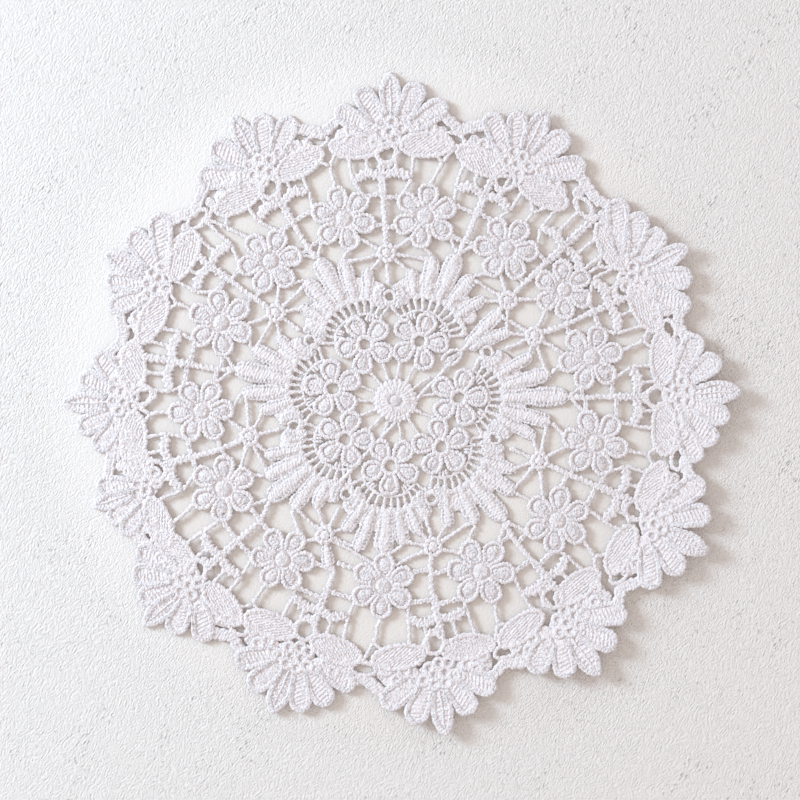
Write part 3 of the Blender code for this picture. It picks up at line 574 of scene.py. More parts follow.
def finger(root, tip, half, start, top=2.4):
    """One long leaf from a distance out of its root to its tip."""
    length = math.dist(root, tip)
    line = straight(between(root, tip, start / length), tip, 0.55)
    widths = half * np.array((0.72, 0.80, 0.90, 1.0, 1.08, 1.0, 0.7))
    return [band(line, widths, top, ridges=3, groove=0.95, stitch=0.04, pitch=1.75, slant=0.3, pits=0.85,
                 scallop=0.07, scallop_pitch=1.6, bend=2.33, cells=14)]


def fans():
    """Five fingers to a fan, each on the line from the flower's middle to its charted tip. The middle one
    is the highest, and an arched ground joins their feet."""
    made = []
    for flower, fan in zip(SMALL_FLOWERS, FANS):
        root = place_on(*flower)((0, 0))
        tips = place_on(fan[0])(fan[1:])
        for i in (0, 4, 1, 3, 2):
            made += finger(root, tips[i], FAN_HALF_WIDTHS[i], 19.6, 2.2 + 0.1 * (i == 2))
        made.append(underlay(arc(place_on(*flower), 24.5, -50, 50, 1.5), (3.5, 5.5, 6.5, 5.5, 3.5), 1.1))
    return made


def filler():
    """The looped leaf and two fingers that fill the wider space in the ring of small flowers."""
    at = place_on(*FILLER_AT, 8.0)
    outline = ((1.2, -5.0), (2.7, -2.6), (3.0, 0.4), (2.0, 3.4), (0, 5.0))
    made = petal(at, outline, 0.8, 2.1, (-3.8, 3.2, 0), (0.6, 1.3, 1.2, 0.7), 2.0, 2)
    for angle, tip, half in FILLER_LEAVES:
        foot = place_on(FILLER_AT[0], FILLER_AT[1] + 3)((0, 0))
        made += finger(foot, place_on(angle)((0, tip)), half, 5.5, 2.1)
    return made


fan_leaves = make_piece("fans", fans() + filler(), SATIN)

# %% [markdown]
# ## Curled leaves
# Between two fans, two curled leaves lean together over a small round eye.

# %% Curled leaves between the fans
ARCHES = (
    # angle, the eye's radius from the rosette
    (-3.5, 46.2), (62.0, 46.0), (111.0, 47.0), (160.0, 46.5), (208.0, 46.8), (256.0, 46.6), (305.0, 46.2),
)


def curled_leaves(angle, radius):
    """A ring for the eye. On each side a band curls up and over it, and a shorter one follows outside."""
    at = place_on(angle, radius)
    made = [cord(circle(at, 2.5, 20), 0.85, 2.0, loop=True, twist=0.18, pitch=1.9)]
    for side in (-1, 1):
        inner = [(side * u, v) for u, v in ((3.0, -5.2), (4.6, -2.2), (5.0, 1.0), (4.0, 3.8), (1.2, 4.2))]
        line = curve(at(inner), 0.5)
        made.append(band(line, (1.5, 2.1, 2.5, 2.4, 1.8), 2.4, ridges=2, stitch=0.2, pitch=1.6, slant=0.6,
                         scallop=0.14, scallop_pitch=2.1, cells=8))
        line = curve(at([(side * u, v) for u, v in ((6.2, -4.0), (7.6, -1.0), (6.8, 1.8))]), 0.5)
        made.append(band(line, (1.1, 1.8, 1.4), 2.0, ridges=2, stitch=0.2, pitch=1.6, slant=0.6, cells=8))
    return made


curls = make_piece("curled_leaves", sum((curled_leaves(*row) for row in ARCHES), []), SATIN)

# %% [markdown]
# ## Larger flowers
# Fourteen flowers stand in the open net. They use the same looped petals, six to a flower, round a
# raised button with a groove about it.

# %% Larger flowers
LARGE_FLOWERS = (
    # angle, radius, size
    (9.0, 83.0, 1.0), (36.0, 83.5, 1.0), (56.5, 89.5, 0.92), (77.5, 88.8, 1.0), (102.0, 90.6, 1.03),
    (126.5, 89.2, 1.03), (153.5, 84.8, 1.04), (184.0, 82.6, 1.0), (215.5, 86.6, 0.98), (243.0, 86.1, 1.02),
    (267.0, 86.6, 1.0), (294.0, 85.2, 1.02), (318.0, 83.5, 1.0), (344.0, 84.4, 1.0),
)
LARGE_PETAL = np.array(((1.3, 4.2), (2.7, 6.4), (3.65, 8.6), (3.85, 10.7), (2.6, 13.1), (0, 13.85)))
BUTTON_PROFILE = np.array((
    (0.3, 0.2, 0), (3.0, 0.2, 0), (4.8, 0.3, 0.3), (5.1, 0.9, 1), (4.8, 1.7, 1), (4.4, 1.7, 0.5),
    (4.0, 0.8, 0), (3.5, 0.6, 0), (3.1, 1.0, 0.4), (2.9, 2.0, 1), (2.4, 2.5, 1), (1.7, 2.5, 0.7),
    (1.0, 2.6, 0.3), (0.3, 2.7, 0),
))
PETAL_GROUND = np.array((1.0, 2.2, 3.3, 3.8, 3.6))


def large_flower(angle, radius, size):
    """A turned button and six petals at 60 degrees from each other, each over a low ground. Lengths on the
    plan are multiplied by the size, heights are not."""
    scaled = BUTTON_PROFILE * (size, 1, 1)
    made = [turned(place_on(angle, radius), scaled, 60, ribs=12, rib=0.14, scallop=0.12)]
    for i in range(6):
        at = place_on(angle, radius, 60 * i)
        bow = (0.3 if i % 2 else -0.3) * size
        core = (4.9 * size, 12.0 * size, bow)
        half = np.array((1.0, 1.7, 2.3, 2.5, 2.3, 1.6)) * size
        made += petal(at, LARGE_PETAL * size, 1.0, 2.3, core, half, 2.4, 3)
        line = straight(*at([(0, 3.5 * size), (0, 13.3 * size)]), 1.4)
        made.append(underlay(line, PETAL_GROUND * size, 1.15))
    return made


large_flowers = make_piece("large_flowers", sum((large_flower(*row) for row in LARGE_FLOWERS), []), SATIN)

# %% [markdown]
# ## Knots, bars and stems
# The open net is made of single plied bars. Knots gather them between the fans, each a small ring with
# a bead in it, and a stem with a leafy sprig stands between every two flowers. The bars follow the same
# rules as the solid's: from a knot to the nearest leaf tips and flowers, from a petal to its stem.

# %% Charts of the net
KNOTS = (
    # angle, radius, length of the bar down to the eye below it
    (-3.5, 65.7, 14.0), (48.3, 67.0, 0.0), (65.0, 68.0, 14.5), (112.7, 69.3, 14.5), (165.6, 67.2, 14.0),
    (207.8, 67.6, 14.0), (256.2, 67.0, 14.0), (306.2, 66.1, 14.0),
)
STEMS = (
    # angle, foot's angle, foot's radius, sprig's radius
    (-3.5, -3.5, 69.5, 101.0), (23.5, 23.2, 70.0, 100.0), (47.5, 47.9, 70.0, 102.0),
    (65.8, 65.3, 71.5, 104.5), (89.0, 88.8, 76.0, 107.5), (113.0, 112.8, 73.0, 108.0),
    (139.5, 138.0, 72.0, 104.0), (169.0, 167.0, 70.0, 99.0), (200.0, 202.0, 79.0, 99.5),
    (228.5, 231.6, 71.5, 105.0), (254.5, 255.8, 70.5, 104.5), (280.0, 280.8, 73.0, 101.5),
    (306.0, 306.0, 70.0, 102.5), (330.0, 330.8, 72.0, 102.5),
)
STEM_BEND = 81.0  # a stem runs straight outward from here
BUD = ((206.5, 70.0), (201.6, 80.0), 2.9)
BAR_HALF = 0.95
HOLE_HALF = 4.2
KNOT_TO_FLOWER = 7.0
SHORTEST_TIE, LONGEST_TIE = 1.5, 13.0
PETAL_REACH = 13.5
WING_HALF_LENGTH, WING_HALF_HEIGHT, WING_OUT = 12.3, 5.9, 15.6
FORK_DROP, FORK_SPREAD, FORK_NEAR = 8.0, 2.2, 5.2
PALMETTES = (
    # angle, wings' radius, hole, pointed leaf (tip sideways, tip outward, half width),
    # left leaves' heads and right leaves' heads (each sideways, outward, radius),
    # the valley's radius and the opening before the next palmette (sideways, outward, half length),
    # and how the ribs of the left and right wing lean
    (-1.0, 113.5, (-2.0, 110.0), (0.0, 146.5, 5.2),
     ((-11.5, 135.0, 5.0), (-20.5, 127.5, 4.8)), ((10.5, 136.3, 5.2), (20.5, 129.0, 5.2)),
     127.0, (-1.5, 118.8, 4.3), (-30, 35)),
    (27.5, 112.0, (-2.2, 109.5), (0.0, 145.0, 5.5),
     ((-9.0, 134.5, 4.8), (-18.5, 129.3, 5.2)), ((11.2, 135.5, 5.3), (22.5, 128.3, 5.4)),
     129.4, (-1.5, 120.0, 4.6), (-38, 25)),
    (62.0, 117.0, (4.0, 113.5), (0.5, 146.5, 5.0),
     ((-9.5, 135.5, 5.0), (-19.0, 131.5, 5.5), (-28.5, 126.5, 5.5)), ((11.2, 136.8, 5.3), (21.3, 131.0, 5.2)),
     132.7, (0.5, 125.3, 3.8), (12, -14)),
    (88.5, 119.0, (1.5, 116.0), (0.0, 153.0, 5.4),
     ((-12.8, 139.5, 5.2), (-21.5, 132.2, 5.0)), ((10.0, 142.3, 5.2), (19.0, 137.3, 5.3), (26.0, 130.8, 5.0)),
     134.2, (-1.5, 127.8, 4.2), (-42, 38)),
    (116.0, 119.0, (-3.0, 117.0), (0.0, 154.0, 5.3),
     ((-13.5, 142.8, 5.3), (-23.5, 135.3, 5.6)), ((11.0, 142.7, 5.4), (21.0, 135.5, 5.5)),
     133.5, (-4.5, 125.5, 4.6), (-30, -12)),
    (143.5, 114.5, (-4.0, 112.0), (0.0, 151.3, 5.5),
     ((-11.5, 140.8, 5.2), (-22.0, 133.5, 5.5)), ((10.0, 138.8, 5.4), (18.0, 130.5, 5.8)),
     129.5, (-2.5, 121.3, 4.6), (4, 10)),
    (171.5, 113.0, (-1.0, 109.5), (0.0, 150.0, 5.3),
     ((-11.0, 137.3, 5.2), (-20.5, 130.0, 5.4)), ((11.3, 138.0, 5.5), (21.3, 130.5, 5.5)),
     128.0, (0.8, 120.0, 5.0), (-30, 32)),
    (201.3, 113.0, (0.5, 109.5), (1.5, 149.5, 5.5),
     ((-8.8, 139.8, 5.0), (-17.5, 133.8, 5.2), (-24.5, 124.5, 5.0)), ((11.5, 138.0, 5.4), (20.5, 131.0, 5.2)),
     131.0, (0.5, 122.5, 4.4), (-35, 30)),
    (228.0, 117.5, (3.5, 116.0), (1.0, 150.5, 5.3),
     ((-8.3, 138.5, 5.3), (-18.7, 131.8, 5.3)), ((9.0, 139.5, 5.0), (17.8, 135.3, 5.1), (24.0, 127.5, 5.0)),
     131.0, (6.3, 126.0, 4.2), (-15, 35)),
    (250.5, 117.5, (6.2, 111.0), (0.8, 143.5, 4.5),
     ((-6.3, 134.0, 4.6), (-13.0, 130.3, 4.7)), ((7.0, 133.8, 4.8),),
     131.5, (-3.5, 123.0, 4.2), (-20, 40)),
    (269.5, 116.5, (3.5, 113.0), (0.5, 148.5, 4.8),
     ((-9.5, 137.3, 4.8), (-17.0, 130.8, 4.8)), ((10.3, 136.0, 5.1), (19.0, 129.8, 5.0)),
     127.5, (1.5, 121.5, 3.8), (-25, 25)),
    (296.5, 113.0, None, (1.0, 145.0, 5.0),
     ((-8.0, 135.2, 4.8), (-16.8, 129.3, 4.9)), ((12.5, 134.7, 5.4), (23.0, 128.5, 5.5)),
     126.5, (-1.5, 119.5, 5.0), (-30, 15)),
    (330.0, 112.5, (-1.5, 110.0), (0.3, 146.0, 5.3),
     ((-11.5, 135.3, 5.4), (-22.3, 127.5, 5.6)), ((10.0, 135.8, 5.2), (19.0, 129.5, 5.2)),
     126.5, (-3.0, 120.5, 4.2), (-10, -15)),
)
print(len(KNOTS), "knots,", len(STEMS), "stems and", len(PALMETTES), "palmettes")

# %% Rules that find where bars end


def bearing_of(point):
    """The angle clockwise from +Y at which a point is seen from the rosette."""
    return math.degrees(math.atan2(point[0] - ROSETTE_AT[0], point[1] - ROSETTE_AT[1]))


def turn_between(start, end):
    """The signed angle from one bearing to another, at most half a turn."""
    return (end - start + 180) % 360 - 180


def side_of(point, angle):
    """How far a point lies clockwise of the line from the rosette at an angle."""
    a = math.radians(angle)
    return (point[0] - ROSETTE_AT[0]) * math.cos(a) - (point[1] - ROSETTE_AT[1]) * math.sin(a)


def flower_tip(row, petal_number):
    """The end of one petal of a larger flower; petal 0 points outward."""
    angle, radius, size = row
    return place_on(angle, radius, 60 * petal_number)((0, PETAL_REACH * size))


def underside(bearing):
    """The radius at which the border begins: the lower edge of the nearer wing, an ellipse."""
    row = min(PALMETTES, key=lambda one: abs(turn_between(one[0], bearing)))
    turn = math.radians(turn_between(row[0], bearing))
    along = min(abs(abs(math.tan(turn) * row[1]) - WING_OUT) / WING_HALF_LENGTH, 1.0)
    return (row[1] - WING_HALF_HEIGHT * math.sqrt(1 - along**2)) / math.cos(turn)


def meetings():
    """Where the wings of each palmette meet the next one's: an angle and a radius."""
    places = []
    for this, following in zip(PALMETTES, PALMETTES[1:] + PALMETTES[:1]):
        ends = [math.hypot(WING_OUT + WING_HALF_LENGTH, row[1]) for row in (this, following)]
        places.append((this[0] + (following[0] - this[0]) % 360 / 2, sum(ends) / 2))
    return places


def stem_top(angle):
    """Where a stem ends: at the lower edge of a palmette's hole if it meets one, else under the wings."""
    for row in PALMETTES:
        if row[2] is None:
            continue
        hole = place_on(row[0])(row[2])
        aside = abs(side_of(hole, angle))
        if aside < HOLE_HALF and abs(turn_between(row[0], angle)) < 20:
            return math.dist(hole, ROSETTE_AT) - math.sqrt(HOLE_HALF**2 - aside**2) + 0.5
    return underside(angle) + 1


def nearest(points, to):
    """The one of the points that lies closest to another point."""
    return min(points, key=lambda point: math.dist(point, to))


def bar(start, end, half=(1.4, BAR_HALF, 0.85, BAR_HALF, 1.4), top=1.8):
    """A plied bar, a little wider where it is sewn down at its ends."""
    return cord(straight(start, end, 0.65), half, top, twist=0.2, pitch=2.2, sides=6)


def riser(start, spread_angle=0.0):
    """A bar from a point outward to the border."""
    bearing = bearing_of(start) + spread_angle
    return bar(start, place_on(bearing)((0, underside(bearing) + 1.0)))


print("the border begins", round(underside(0.0), 1), "mm out; wings meet at", len(meetings()), "places")

# %% Knots, stems and sprigs
BEAD_PROFILE = (
    (0.25, 0.3, 0), (1.7, 0.4, 0), (2.3, 1.0, 1), (2.1, 1.9, 1), (1.4, 2.5, 0.6), (0.25, 2.7, 0),
)


def knot(angle, radius, drop, tips):
    """A bead in a ring with six short bars between them, a bar down to the eye below, and on each side
    bars to the two nearest leaf tips and to the nearest larger flower."""
    at = place_on(angle, radius)
    made = [turned(at, BEAD_PROFILE, 24, ribs=6, rib=0.2, scallop=0.15),
            cord(circle(at, 3.3, 36), 1.15, 2.3, loop=True, twist=0.28, pitch=2.3)]
    made += [bar(at((1.6 * math.sin(a), 1.6 * math.cos(a))), at((3 * math.sin(a), 3 * math.cos(a))), 0.5, 1.3)
             for a in np.arange(6) * math.pi / 3]
    if drop > 0:
        made.append(bar(at((0, -3.2)), at((0, -drop))))
    for side in (-1, 1):
        here = [tip for tip in tips if 2 < side * side_of(tip, angle) < 24]
        ends = [between(tip, ROSETTE_AT, 2.0 / math.dist(tip, ROSETTE_AT))
                for tip in sorted(here, key=lambda tip: math.dist(tip, at((0, 0))))[:2]]
        flowers = [place_on(row[0], row[1])((0, -KNOT_TO_FLOWER)) for row in LARGE_FLOWERS]
        ends.append(nearest([point for point in flowers if side * side_of(point, angle) > 2], at((0, 0))))
        made += [bar(between(at((0, 0)), end, 3.0 / math.dist(at((0, 0)), end)), end) for end in ends]
    return made


def leaf_bar(line, half, top):
    """A stem's leafy stretch: a band of two ridges with a deeply lobed edge."""
    return band(line, half, top, ridges=2, groove=0.35, stitch=0.16, pitch=2.3, slant=0.9, scallop=0.24,
                scallop_pitch=2.7, cells=8)


def stem(angle, foot_angle, foot, sprig, before, after):
    """A trunk from its foot outward and a leafy stretch up to the border. On each side two ties run to the
    petals of the flower there, and an arm is held by a bar to a petal and two to the border."""
    at = place_on(angle)
    foot_at = place_on(foot_angle)((0, foot))
    trunk = curve([foot_at, at((0, STEM_BEND)), at((0, sprig - 9))], 0.6)
    made = [cord(trunk, 1.3, 1.9, twist=0.25, pitch=2.4),
            leaf_bar(straight(at((0, sprig - 11)), at((0, stem_top(angle))), 0.55), 1.9, 2.3)]
    for row, upper, lower, side in ((before, 1, 2, -1), (after, 5, 4, 1)):
        for number in (upper, lower):
            tip = flower_tip(row, number)
            foot_of_tie = at((0, math.dist(tip, ROSETTE_AT)))
            made.append(leaf_bar(straight(foot_of_tie, tip, 0.55), (1.6, 1.2, 1.0, 1.2, 1.5), 1.9))
        elbow, hand = at((side * 6.3, sprig + 0.5)), at((side * 13.0, sprig - 2.6))
        arm = curve([at((0, sprig - 1.5)), elbow, hand], 0.55)
        made.append(leaf_bar(arm, (1.6, 2.1, 2.5, 2.4, 1.5), 2.2))
        made += [bar(hand, flower_tip(row, upper)), riser(elbow), riser(hand)]
    return made


def flower_fork(row):
    """The forked bar from a larger flower's outermost petal to the border."""
    tip = flower_tip(row, 0)
    angle, radius = min(meetings(), key=lambda place: abs(turn_between(place[0], row[0])))
    aside = turn_between(row[0], angle)
    if abs(aside) < FORK_NEAR:
        fork = place_on(row[0] + aside / 2)((0, radius - FORK_DROP))
    else:
        fork = place_on(row[0])((0, underside(row[0]) - FORK_DROP / 2))
    return [bar(tip, fork), riser(fork, FORK_SPREAD), riser(fork, -FORK_SPREAD)]


def ties(fan):
    """Bars from a fan's leaves to the larger flowers: two from the middle leaf, one from each beside it."""
    at, made = place_on(fan[0]), []
    for leaf, side, number in ((2, -1, 3), (3, -1, 2), (3, 1, 4), (4, 1, 3)):
        tip = at(fan[leaf])
        petals = [flower_tip(row, number) for row in LARGE_FLOWERS]
        end = nearest([point for point in petals if side * side_of(point, fan[0]) > 0], tip)
        if SHORTEST_TIE < math.dist(end, tip) < LONGEST_TIE:
            made.append(bar(tip, end))
    return made


def net():
    """All the knots, stems, forks and ties, and one leaf that joins a knot to a stem."""
    tips = [tip for fan in FANS for tip in place_on(fan[0])(fan[1:])]
    tips += [place_on(angle)((0, tip)) for angle, tip, _ in FILLER_LEAVES]
    made = []
    for row in KNOTS:
        made += knot(*row, tips)
    for i, row in enumerate(STEMS):
        made += stem(*row, LARGE_FLOWERS[i - 1], LARGE_FLOWERS[i])
    for row in LARGE_FLOWERS:
        made += flower_fork(row)
    for fan in FANS:
        made += ties(fan)
    foot, end, half = BUD
    return made + finger(place_on(*foot)((0, 0)), place_on(*end)((0, 0)), half, 1.0)


open_net = make_piece("open_net", net(), PLIED)

# %% [markdown]
# ## Palmettes
# The border is thirteen palmettes. Each fans out a pointed leaf and three to five rounded ones, all of
# thick satin cord round a small ladder, over two wings filled with slanting cords. Between leaves and
# wings lies a cluster of tiny rings. Low grounds of thread join them all, or dark slits would show
# between the parts.

# %% The pointed leaf
PALMETTE_HEIGHT = 31.0
RIM_HALF = 1.45
POINTED_LEAF = ((2.0, 19.8), (3.1, 16.5), (3.75, 12.6), (3.7, 9.0), (2.7, 5.2), (1.2, 2.4), (0, 1.5))


def leaf_frame(root, tip):
    """A frame with its origin at a leaf's tip and its outward axis from the root to the tip."""
    direction = (np.asarray(tip) - root) / math.dist(root, tip)
    across = np.array((direction[1], -direction[0]))
    return lambda points: tip + np.asarray(points, float) @ np.array((across, direction))


def satin_rim(line, half, top):
    """The thick edge of a leaf: a band of two smooth ridges, as two cords laid side by side."""
    return band(line, half * np.array((0.72, 0.9, 1.0, 1.0, 1.0, 0.9, 0.72)), top, ridges=2, groove=0.4,
                stitch=0.12, pitch=1.9, slant=0.8, scallop=0.07, scallop_pitch=2.1, cells=6)


def pointed_leaf(at, pointed):
    """The outline and its mirror image as a rim, and inside it a low ground, a vein and ribs from it."""
    tip_side, tip, half = pointed
    leaf = leaf_frame(at((0, tip - PALMETTE_HEIGHT)), at((tip_side, tip)))
    wide = (half - RIM_HALF) / max(u for u, _ in POINTED_LEAF)
    outline = [(-u * wide, -v) for u, v in POINTED_LEAF]
    outline += [(-u, v) for u, v in outline[-2::-1]]
    rim = satin_rim(curve(leaf(outline), 0.62), 1.5, 2.4)
    half = np.array((1.6, 3.0, 3.4, 2.6, 1.0)) * wide
    ground = underlay(straight(*leaf([(0, -20), (0, -2)]), 1.6), half, 1.05)
    fine = [cord(straight(*leaf([(0, -3.2), (0, -20.5)]), 0.8), 0.6, 2.0, sides=6)]
    for v in np.arange(5.4, 19.5, 2.1):
        reach = np.interp(v, (2, 6, 11, 20), (0.8, 2.6, 3.4, 1.8)) * wide
        for side in (-1, 1):
            line = straight(*leaf([(0, -v), (side * reach, -v + 0.5)]), 0.9)
            fine.append(cord(line, 0.6, 1.7, sides=6, twist=0))
    return [rim, ground], fine


print("its outline is charted by", len(POINTED_LEAF), "points on each side")

# %% The rounded leaves
LEAF_FOOT = 10.5


def rounded_leaf(root, head, radius):
    """A loop of two cords round the head, with slanting rungs across it over a low underlay."""
    length = math.dist(root, head)
    leaf = leaf_frame(root, head)
    foot = min(LEAF_FOOT, length * 0.5) - length
    r = radius - 1.25
    up = [(-r * 0.62, foot), (-r * 0.93, foot * 0.5), (-r, 0), (-0.71 * r, 0.71 * r)]
    outline = up + [(0, r)] + [(-u, v) for u, v in up[::-1]]
    rims = [satin_rim(curve(leaf(outline), 0.62), RIM_HALF, 2.4),
            underlay(straight(*leaf([(0, foot - 3.0), (0, radius - 0.7)]), 1.6), (0.65 * r, r, r), 1.25)]
    fine = []
    for v in np.arange(foot + 1.0, r * 0.6, 1.75):
        reach = (r - 0.9) if v < 0 else math.sqrt(max((r - 0.9)**2 - v * v, 0.04))
        reach *= 0.62 + 0.38 * min(1, (v - foot) / 8)
        line = straight(*leaf([(-reach, v - 0.32 * reach), (reach, v + 0.32 * reach)]), 1.1)
        fine.append(cord(line, 0.58, 1.7, sides=6, twist=0))
    return rims, fine


print("a rounded leaf has", len(rounded_leaf(np.zeros(2), np.array((0, 24.0)), 5.0)[1]), "rungs")

# %% Wings
WING_SHAPE = np.array((0.3, 0.75, 0.95, 1.0, 0.95, 0.75, 0.3))


def wing(at, side, wings, lean):
    """An almond of cord filled with slanting cords: each rib is the chord of an ellipse."""
    a, b = WING_HALF_LENGTH - 0.75, WING_HALF_HEIGHT - 0.75
    t = np.linspace(0, 2 * np.pi, 72, endpoint=False)
    rim = np.stack([side * WING_OUT + a * np.cos(t), wings + b * np.sin(t)], axis=1)
    fine = [cord(evenly(np.vstack([at(rim), at(rim[:1])]), 0.75, loop=True), 1.15, 2.0, loop=True, twist=0.24,
                 pitch=2.2)]
    a, b = a - 0.5, b - 0.5
    ground = underlay(straight(*at([(side * WING_OUT - a, wings), (side * WING_OUT + a, wings)]), 1.6),
                      WING_SHAPE * b, 1.35)
    c, s = math.cos(math.radians(lean)), math.sin(math.radians(lean))
    spread_of = math.hypot(a * s, b * c)
    for off in np.arange(-spread_of + 0.8, spread_of - 0.3, 1.2):
        long_side = a * b * math.sqrt(spread_of**2 - off**2) / spread_of**2
        shift = off * s * c * (a * a - b * b) / spread_of**2
        middle = np.array((side * WING_OUT - off * s - shift * c, wings + off * c - shift * s))
        along = np.array((c, s)) * long_side
        line = straight(*at([middle - along, middle + along]), 1.0)
        fine.append(cord(line, 0.7, 1.75, sides=6, twist=0.2, pitch=2.0))
    return [ground], fine


print("a wing has", len(wing(place_on(0), 1, 113.5, 35)[1]) - 1, "ribs")

# %% The web between leaves and wings
EYELETS = (
    # sideways from the hole, outward from the root of the leaves
    (-2.5, 8.0), (2.5, 8.0), (-6.8, 5.6), (6.8, 5.6), (-3.0, 3.4), (1.6, 4.2), (-0.8, -0.8),
    (4.0, 0.8), (-4.8, -0.4),
)
WEB_EYELETS = (
    # outward along the web, and aside as a share of its half width
    (10.0, 0.45), (14.0, -0.35), (18.0, 0.45), (22.0, -0.35),
)


def eyelet(at, middle):
    """A ring so thick that its neighbours run into it and only small round holes stay open."""
    return cord(circle(at, 2.2, 14, middle), 1.15, 1.9, loop=True, sides=6, twist=0.2, pitch=2.0)


def web(at, wings, root, shift):
    """A low ground on each side, from the wing's outer edge to the foot of the leaves, with a zigzag row
    of rings, and between the two sides thinner grounds under a cluster of rings and the leaves' feet."""
    inner_edge, outer_edge = wings + WING_HALF_HEIGHT, root + 8.0
    middle = (inner_edge + outer_edge) / 2
    half = max((outer_edge - inner_edge) / 2 + 0.8, 1.6)
    grounds = [underlay(straight(*at([(shift - 10, root + 3.6), (shift + 10, root + 3.6)]), 1.5),
                        (3.4, 5.0, 6.0, 5.0, 3.4), 0.55),
               underlay(straight(*at([(-4.5, root + 9.5), (4.5, root + 9.5)]), 1.5), 2.6, 0.85)]
    rings = [eyelet(at, (shift + u, root + v)) for u, v in EYELETS]
    for side in (-1, 1):
        start = min(8, max(8 + side * shift, 4.5))
        line = curve(at([(side * u, middle - drop) for u, drop in ((start, 1.0), (16, 0.5), (25, 4.5))]), 1.5)
        grounds.append(underlay(line, (half + 1.2, half, half), 0.95))
        rings += [eyelet(at, (side * u, middle - (u / 12)**2 + share * half)) for u, share in WEB_EYELETS]
    return grounds, rings


print("each palmette has", len(EYELETS) + 2 * len(WEB_EYELETS), "tiny rings")

# %% One palmette


def palmette(angle, wings, hole, pointed, left, right, leans):
    """All its parts: first the rims and grounds, then what fills them."""
    at = place_on(angle)
    foot = pointed[1] - PALMETTE_HEIGHT
    root = at((0, foot))
    rims, fine = pointed_leaf(at, pointed)
    for head_out, outward, radius in left + right:
        rim, filling = rounded_leaf(root, at((head_out, outward)), radius)
        rims, fine = rims + rim, fine + filling
    for side, lean in zip((-1, 1), leans):
        rim, filling = wing(at, side, wings, lean)
        rims, fine = rims + rim, fine + filling
    grounds, rings = web(at, wings, foot, 0 if hole is None else hole[0])
    rims, fine = rims + grounds, fine + rings
    if hole is not None:
        fine.append(cord(circle(at, 4.4, 28, hole), 1.1, 2.0, loop=True, twist=0.2, pitch=2.0))
        for side in (-1, 1):
            fine.append(cord(straight(*at([(hole[0], hole[1] - 7), (hole[0] + side * 6, hole[1] + 1)]), 0.7),
                             (1.3, 1.1, 1.3), 1.9, twist=0.24, pitch=2.2))
    return rims, fine


rims, fine = zip(*(palmette(*row[:6], row[8]) for row in PALMETTES))
print("the palmettes have", len(sum(rims, [])), "rims and grounds and", len(sum(fine, [])), "fine cords")

# %% Valleys between palmettes
VALLEY_HALF = 3.1


def valley_band(this, following, meeting):
    """The edge from the last leaf of one palmette to the first of the next, with an oval ring inside it
    and a short band and a cord on each side."""
    angle, foot = meeting
    right, valley, (sideways, outward, half_length) = this[5:8]
    at = place_on(angle)
    start = place_on(this[0])(right[-1][:2])
    end = place_on(following[0])(following[4][-1][:2])
    low_point = at((0, valley - VALLEY_HALF))
    down, up = between(start, low_point, 0.55), between(end, low_point, 0.55)
    line = curve([start, down, low_point, up, end], 0.55)
    made = [band(line, (2.4, 2.6, 2.8, 2.6, 2.4), 2.0, ridges=3, groove=0.5, stitch=0.14, pitch=1.3,
                 slant=0.6, scallop=0.1, scallop_pitch=3.6, cells=12)]
    a = np.linspace(0, 2 * np.pi, 40)
    ring = at(np.stack([sideways + (half_length + 0.6) * np.cos(a), outward + 2.8 * np.sin(a)], axis=1))
    made.append(cord(evenly(ring, 0.7, loop=True), 0.95, 1.8, loop=True, twist=0.2, pitch=2.0))
    for side in (-1, 1):
        points = at([(side * 7.5, foot + 2.0), (side * 7.6, foot + 4.5), (side * 6.6, valley - 4.0)])
        made.append(band(curve(points, 0.55), (2.0, 2.5, 2.8), 1.8, ridges=3, groove=0.5, stitch=0.16,
                         pitch=1.4, slant=0.5, cells=10))
        line = curve(at([(side * 1.5, foot - 0.5), (side * 4.5, foot + 0.8), (side * 7.5, foot + 3)]))
        made.append(cord(line, 1.0, 1.8))
    return made


def valleys():
    """One band for each pair of neighbouring palmettes; the last and the first are a pair as well."""
    made = []
    for this, following, meeting in zip(PALMETTES, PALMETTES[1:] + PALMETTES[:1], meetings()):
        made += valley_band(this, following, meeting)
    return made


border = make_piece("border", sum(rims, []) + valleys(), SATIN)
border_fillings = make_piece("border_fillings", sum(fine, []), SATIN)

# %% [markdown]
# ## One sheet of lace
# All the rings together are one flat piece of cloth. They stand in place of the solid, which is hidden.

inner = [rosette_piece, small_flowers, ladders, fan_leaves, curls, large_flowers, open_net, border_fillings]
for piece in [border] + inner:
    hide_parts("lace_doily")

# %% [markdown]
# ## Table, light and camera
# A pale plastered surface, a soft key light from the upper left and an even sky. The camera looks
# straight down.

# %% The height of the plaster


